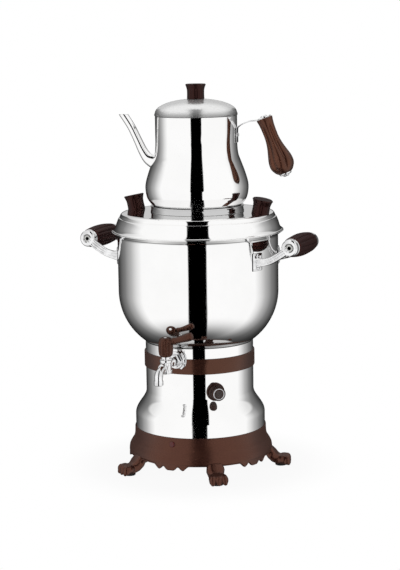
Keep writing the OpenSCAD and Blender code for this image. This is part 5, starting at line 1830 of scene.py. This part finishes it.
    def grip(self) -> None:
        """The fluted pear, its bright end cap and the bolt through both."""
        low, r = -self.pear_l, self.pear_r
        knots = [(9, low + 3), (12.6, low + 6), (r * 0.95, low + 12), (r, low + 18),
                 (r * 0.95, low + 25), (r * 0.8, low + 34), (r * 0.66, low + 43),
                 (r * 0.565, low + 54), (r * 0.565, -15), (r * 0.6, -6), (r * 0.65, -0.7)]
        line = [(0, low + 3)] + smooth(knots, 10) + [(r * 0.62, 0), (r * 0.3, 0), (0, 0)]
        pear = Blank().lathe(line, steps=240).finish("fluted_pear")
        fluting().run(pear, Look.PEAR, Count=6, Depth=2.4 * MM, Power=1.25, Low=(low + 4) * MM,
                      High=-0.5 * MM, Fade=20 * MM, Low_fade=9 * MM)
        seat(move(pear, self.pear), "teapot", "red_brown_grip", "teapot_grip")
        cap = rounded([(0, low), (5.6, low), (7.6, low + 0.5), (8.6, low + 1.5),
                       (8.6, low + 2.95), (0, low + 2.95)], 0.5)
        Blank().lathe(cap, self.pear, 64).fit("pear_cap", Look.CHROME, "teapot", "chrome_plate",
                                              "teapot_grip_cap")
        head = rounded([(0, low - 2), (3, low - 2), (4.4, low - 1), (4.4, low - 0.05),
                        (0, low - 0.05)], 0.5)
        nut = rounded([(0, 1.95), (4.4, 1.95), (4.4, 3.0), (3.2, 3.95), (0, 3.95)], 0.5)
        bolt = Blank().lathe(head, self.pear, 40)
        bolt.lathe([(0, low), (2.5, low), (2.5, 2), (0, 2)], self.pear, 32)
        bolt.lathe(nut, self.pear, 40)
        bolt.fit("pear_bolt", Look.CHROME, "teapot", "zinc_steel", "teapot_grip_bolt")

    def build(self) -> None:
        """Builds and dresses the teapot."""
        self.body()
        self.spout()
        self.strap()
        self.grip()


@dataclass
class TeapotCover:
    """The teapot's domed lid with its dark knob."""

    rim_r: float = 57  # radius of the rim
    rise: float = 19.5  # height of the dome over it
    rim_h: float = 3.2  # height of the rim
    wall: float = 1  # thickness of the sheet

    def dome(self, radius: float, rise: float) -> Outline:
        """The line of a dome on the rim, from its edge almost to its top."""
        base = Z.pot_lid + self.rim_h
        return [(radius * math.cos(a), base + rise * math.sin(a) ** 0.94)
                for a in np.linspace(0.06, math.pi / 2 - 0.001, 40)]

    def build(self) -> None:
        """Builds and dresses the cover."""
        r, z, rim, plug = self.rim_r, Z.pot_lid, Z.pot_lid + self.rim_h, self.rim_r - 2.4
        edge = [(plug, z - 7), (plug, z), (r - 0.4, z), (r, z + 0.4), (r, rim - 0.7),
                (r - 0.5, rim)]
        top = [(0, Z.dome_top), (0, Z.dome_top - self.wall)]
        inner = self.dome(r - 0.8 - self.wall, self.rise - self.wall)[:2:-1]
        line = (edge + self.dome(r - 0.8, self.rise) + top + inner
                + [(plug - 0.9, rim + 2.5), (plug - 0.9, z - 7)])
        cover = Blank().lathe(line, spin(Teapot.turn), 192, wrap=True)
        cover.fit("dome_sheet", Look.COVER, "teapot_cover", "polished_steel", "teapot_lid",
                  crease=45)
        place = spin(Teapot.turn) @ shift(0, 0, Z.dome_top + 0.05)
        seat(Knob().make(place, "dome_knob"), "teapot_cover", "black_plastic",
             "teapot_lid_knob")
        dress_nodes(Look.ZINC, "teapot_lid_screw")


# ---------------------------------------------------------------- the studio

@dataclass
class Studio:
    """Camera, pale floor, soft lamps and the surroundings that bright metal mirrors.

    Attributes:
        view_az: azimuth of the view from -Y, in degrees.
        pitch: how far the camera looks down, in degrees.
        yaw: its small turn to the right, in radians.
        roll: its small lean, in radians.
        eye: its place, in metres.
        lens: its focal length, in millimetres.
        gap_half: half width of the dark gap in the mirrored walls, as the sine of its angle.
        gap_slim: how much slimmer it gets from 3 to 9 degrees below the horizon.
        gap_step: how far it steps aside from 0 to 10 degrees below the horizon.
        gap_blur: half width of its soft edges.
        gap_mid: degrees below the horizon at which its taper begins, upwards and downwards.
        floor_half: half width of the floor, in metres.
        floor_z: its height, in metres, clear of the feet.
    """

    view_az: float = 25
    pitch: float = 9.28
    yaw: float = 0.00091
    roll: float = 0.0152
    eye: Point3 = (0.9508, -2.0390, 0.6226)
    lens: float = 103.58
    gap_half: float = 0.26
    gap_slim: float = 0.037
    gap_step: float = 0.024
    gap_blur: float = 0.012
    gap_mid: float = 8.0
    floor_half: float = 6
    floor_z: float = -0.0004

    def camera(self) -> None:
        """The camera at its place."""
        data = bpy.data.cameras.new("view")
        data.lens = self.lens
        data.sensor_width = 36
        data.sensor_fit = "AUTO"
        data.clip_start = 0.05
        camera = put("view", data)
        az, tilt = math.radians(self.view_az), math.radians(self.pitch)
        ahead = Vector((-math.sin(az) * math.cos(tilt), math.cos(az) * math.cos(tilt),
                        -math.sin(tilt)))
        right = Vector((math.cos(az), math.sin(az), 0))
        ahead, right = ((ahead + right * self.yaw).normalized(),
                        (right - ahead * self.yaw).normalized())
        up = right.cross(ahead)
        c, s = math.cos(self.roll), math.sin(self.roll)
        x, y = right * c - up * s, up * c + right * s
        turn = Matrix((x, y, -ahead)).transposed().to_4x4()
        camera.matrix_world = Matrix.Translation(self.eye) @ turn
        bpy.context.scene.camera = camera

    def surroundings(self) -> None:
        """The world: white to the camera, soft grey light, and a studio in the mirror.

        The mirror sees pale walls with a dark upright gap on the viewing side, which runs on
        under the object. The walls darken behind the object and open up above, and the ground
        darkens beneath.
        """
        world = bpy.data.worlds.new("studio")
        bpy.context.scene.world = world
        world.use_nodes = True
        g = Graph(world.node_tree)
        x, y, z = g.parts(g.add("ShaderNodeTexCoord").outputs["Generated"])
        az, to_degrees = math.radians(self.view_az), 180 / math.pi
        front = x * math.sin(az) - y * math.cos(az)
        side = x * math.cos(az) + y * math.sin(az)
        turn = abs(g.math("ARCTAN2", side, front)) * to_degrees
        rise = g.math("ARCSINE", z) * to_degrees
        down = g.math("ARCTAN2", z * -1, front) * to_degrees
        spread = g.math("MAXIMUM", down - self.gap_mid, (self.gap_mid - down) * 0.8)
        taper = 0.5 + 0.5 * g.math("COSINE", spread / to_degrees)
        half = (self.gap_half - self.gap_slim * down.between(3.0, 9.0)) * taper
        aside = abs(side + self.gap_step * down.between(0.0, 10.0))
        inside = 1 - aside.between(half - self.gap_blur, half + self.gap_blur)
        dark = down.between(-104.0, -88.0) * inside
        walls = g.ramp(turn / 180, [(0, 1), (0.49, 1), (0.55, 0.78), (0.62, 0.47), (0.72, 0.21),
                                    (0.84, 0.07), (0.93, 0.02), (1, 0.01)])
        start = 20 - 19 * turn.between(150.0, 172.0)
        open_up = 0.58 * rise.between(start, start + 6) + 0.4 * rise.between(26.0, 48.0)
        ground = 0.12 + 0.88 * rise.between(-84.0, -36.0)
        level = (1 - dark) * (walls + (1 - walls) * open_up) * ground
        light = g.add("ShaderNodeLightPath")
        mirror = g.math("MAXIMUM", Val(g, light.outputs["Is Glossy Ray"]),
                        Val(g, light.outputs["Is Transmission Ray"]))
        seen = g.mix(mirror, (0.15, 0.15, 0.152), g.mix(level, (0, 0, 0), (1, 1, 1)))
        shown = g.mix(Val(g, light.outputs["Is Camera Ray"]), seen, (1, 1, 1))
        glow = g.add("ShaderNodeBackground", None, {"Color": shown, "Strength": 1.0})
        g.add("ShaderNodeOutputWorld", None, {"Surface": glow.outputs[0]})

    def floor(self) -> None:
        """A pale floor that shows as white and keeps a soft shadow around the object."""
        data = bpy.data.meshes.new("floor")
        size, z = self.floor_half, self.floor_z
        data.from_pydata([(-size, -size, z), (size, -size, z), (size, size, z),
                          (-size, size, z)], [], [(0, 1, 2, 3)])
        floor = put("floor", data)
        material = bpy.data.materials.new("floor_paper")
        material.use_nodes = True
        g = Graph(material.node_tree)
        place = g.coords()
        grain = g.noise(place, scale=300)
        paper = g.mix(grain, (0.80, 0.80, 0.80), (0.84, 0.84, 0.84))
        matt = g.add("ShaderNodeBsdfDiffuse", None, {"Color": paper})
        white = g.add("ShaderNodeEmission", None, {"Color": (1, 1, 1, 1), "Strength": 1.0})
        light = g.add("ShaderNodeLightPath")
        x, y, _ = g.parts(place)
        away = (x * x + y * y) ** 0.5
        factor = Val(g, light.outputs["Is Camera Ray"]) * (0.93 + 0.07 * away.between(0.12, 0.22))
        both = g.add("ShaderNodeMixShader", None, {0: factor, 1: matt.outputs[0],
                                                   2: white.outputs[0]})
        g.add("ShaderNodeOutputMaterial", None, {"Surface": both.outputs[0]})
        data.materials.append(material)
        floor.visible_glossy = False

    def lamps(self) -> None:
        """Soft area lamps in front, at the side and above, which the mirror doesn't show."""
        aim = Vector((0, 0, 0.25))
        for name, place, size, power in (
                ("key", (0.6, -2.1, 1.1), 0.7, 15), ("side", (-1.6, -1.2, 1.6), 1.0, 4),
                ("top", (0.1, 0.4, 2.2), 1.2, 5)):
            data = bpy.data.lights.new(name, "AREA")
            data.shape = "DISK"
            data.size = size
            data.energy = power
            lamp = put(name, data)
            lamp.visible_glossy = False
            lamp.location = place
            lamp.rotation_euler = (aim - lamp.location).to_track_quat("-Z", "Y").to_euler()

    def build(self) -> None:
        """Sets up the studio."""
        bpy.context.scene.view_settings.view_transform = "Standard"
        self.camera()
        self.surroundings()
        self.floor()
        self.lamps()


def plain(box: Sequence[Sequence[float]]) -> list[list[float]]:
    """A box's two corners as lists of numbers."""
    return [[float(c) for c in corner] for corner in box]


def main() -> None:
    """Builds every part of the picture in order."""
    logging.basicConfig(level=logging.INFO, format="%(name)s: %(message)s")
    for part in (Studio(), Base(), Pedestal(), Tank(), SideHandles(), Tap(), Thermostat(),
                 Electrics(), Lid(), Teapot(), TeapotCover()):
        part.build()
        LOG.info("%s done", type(part).__name__)


if __name__ == "__main__":
    main()
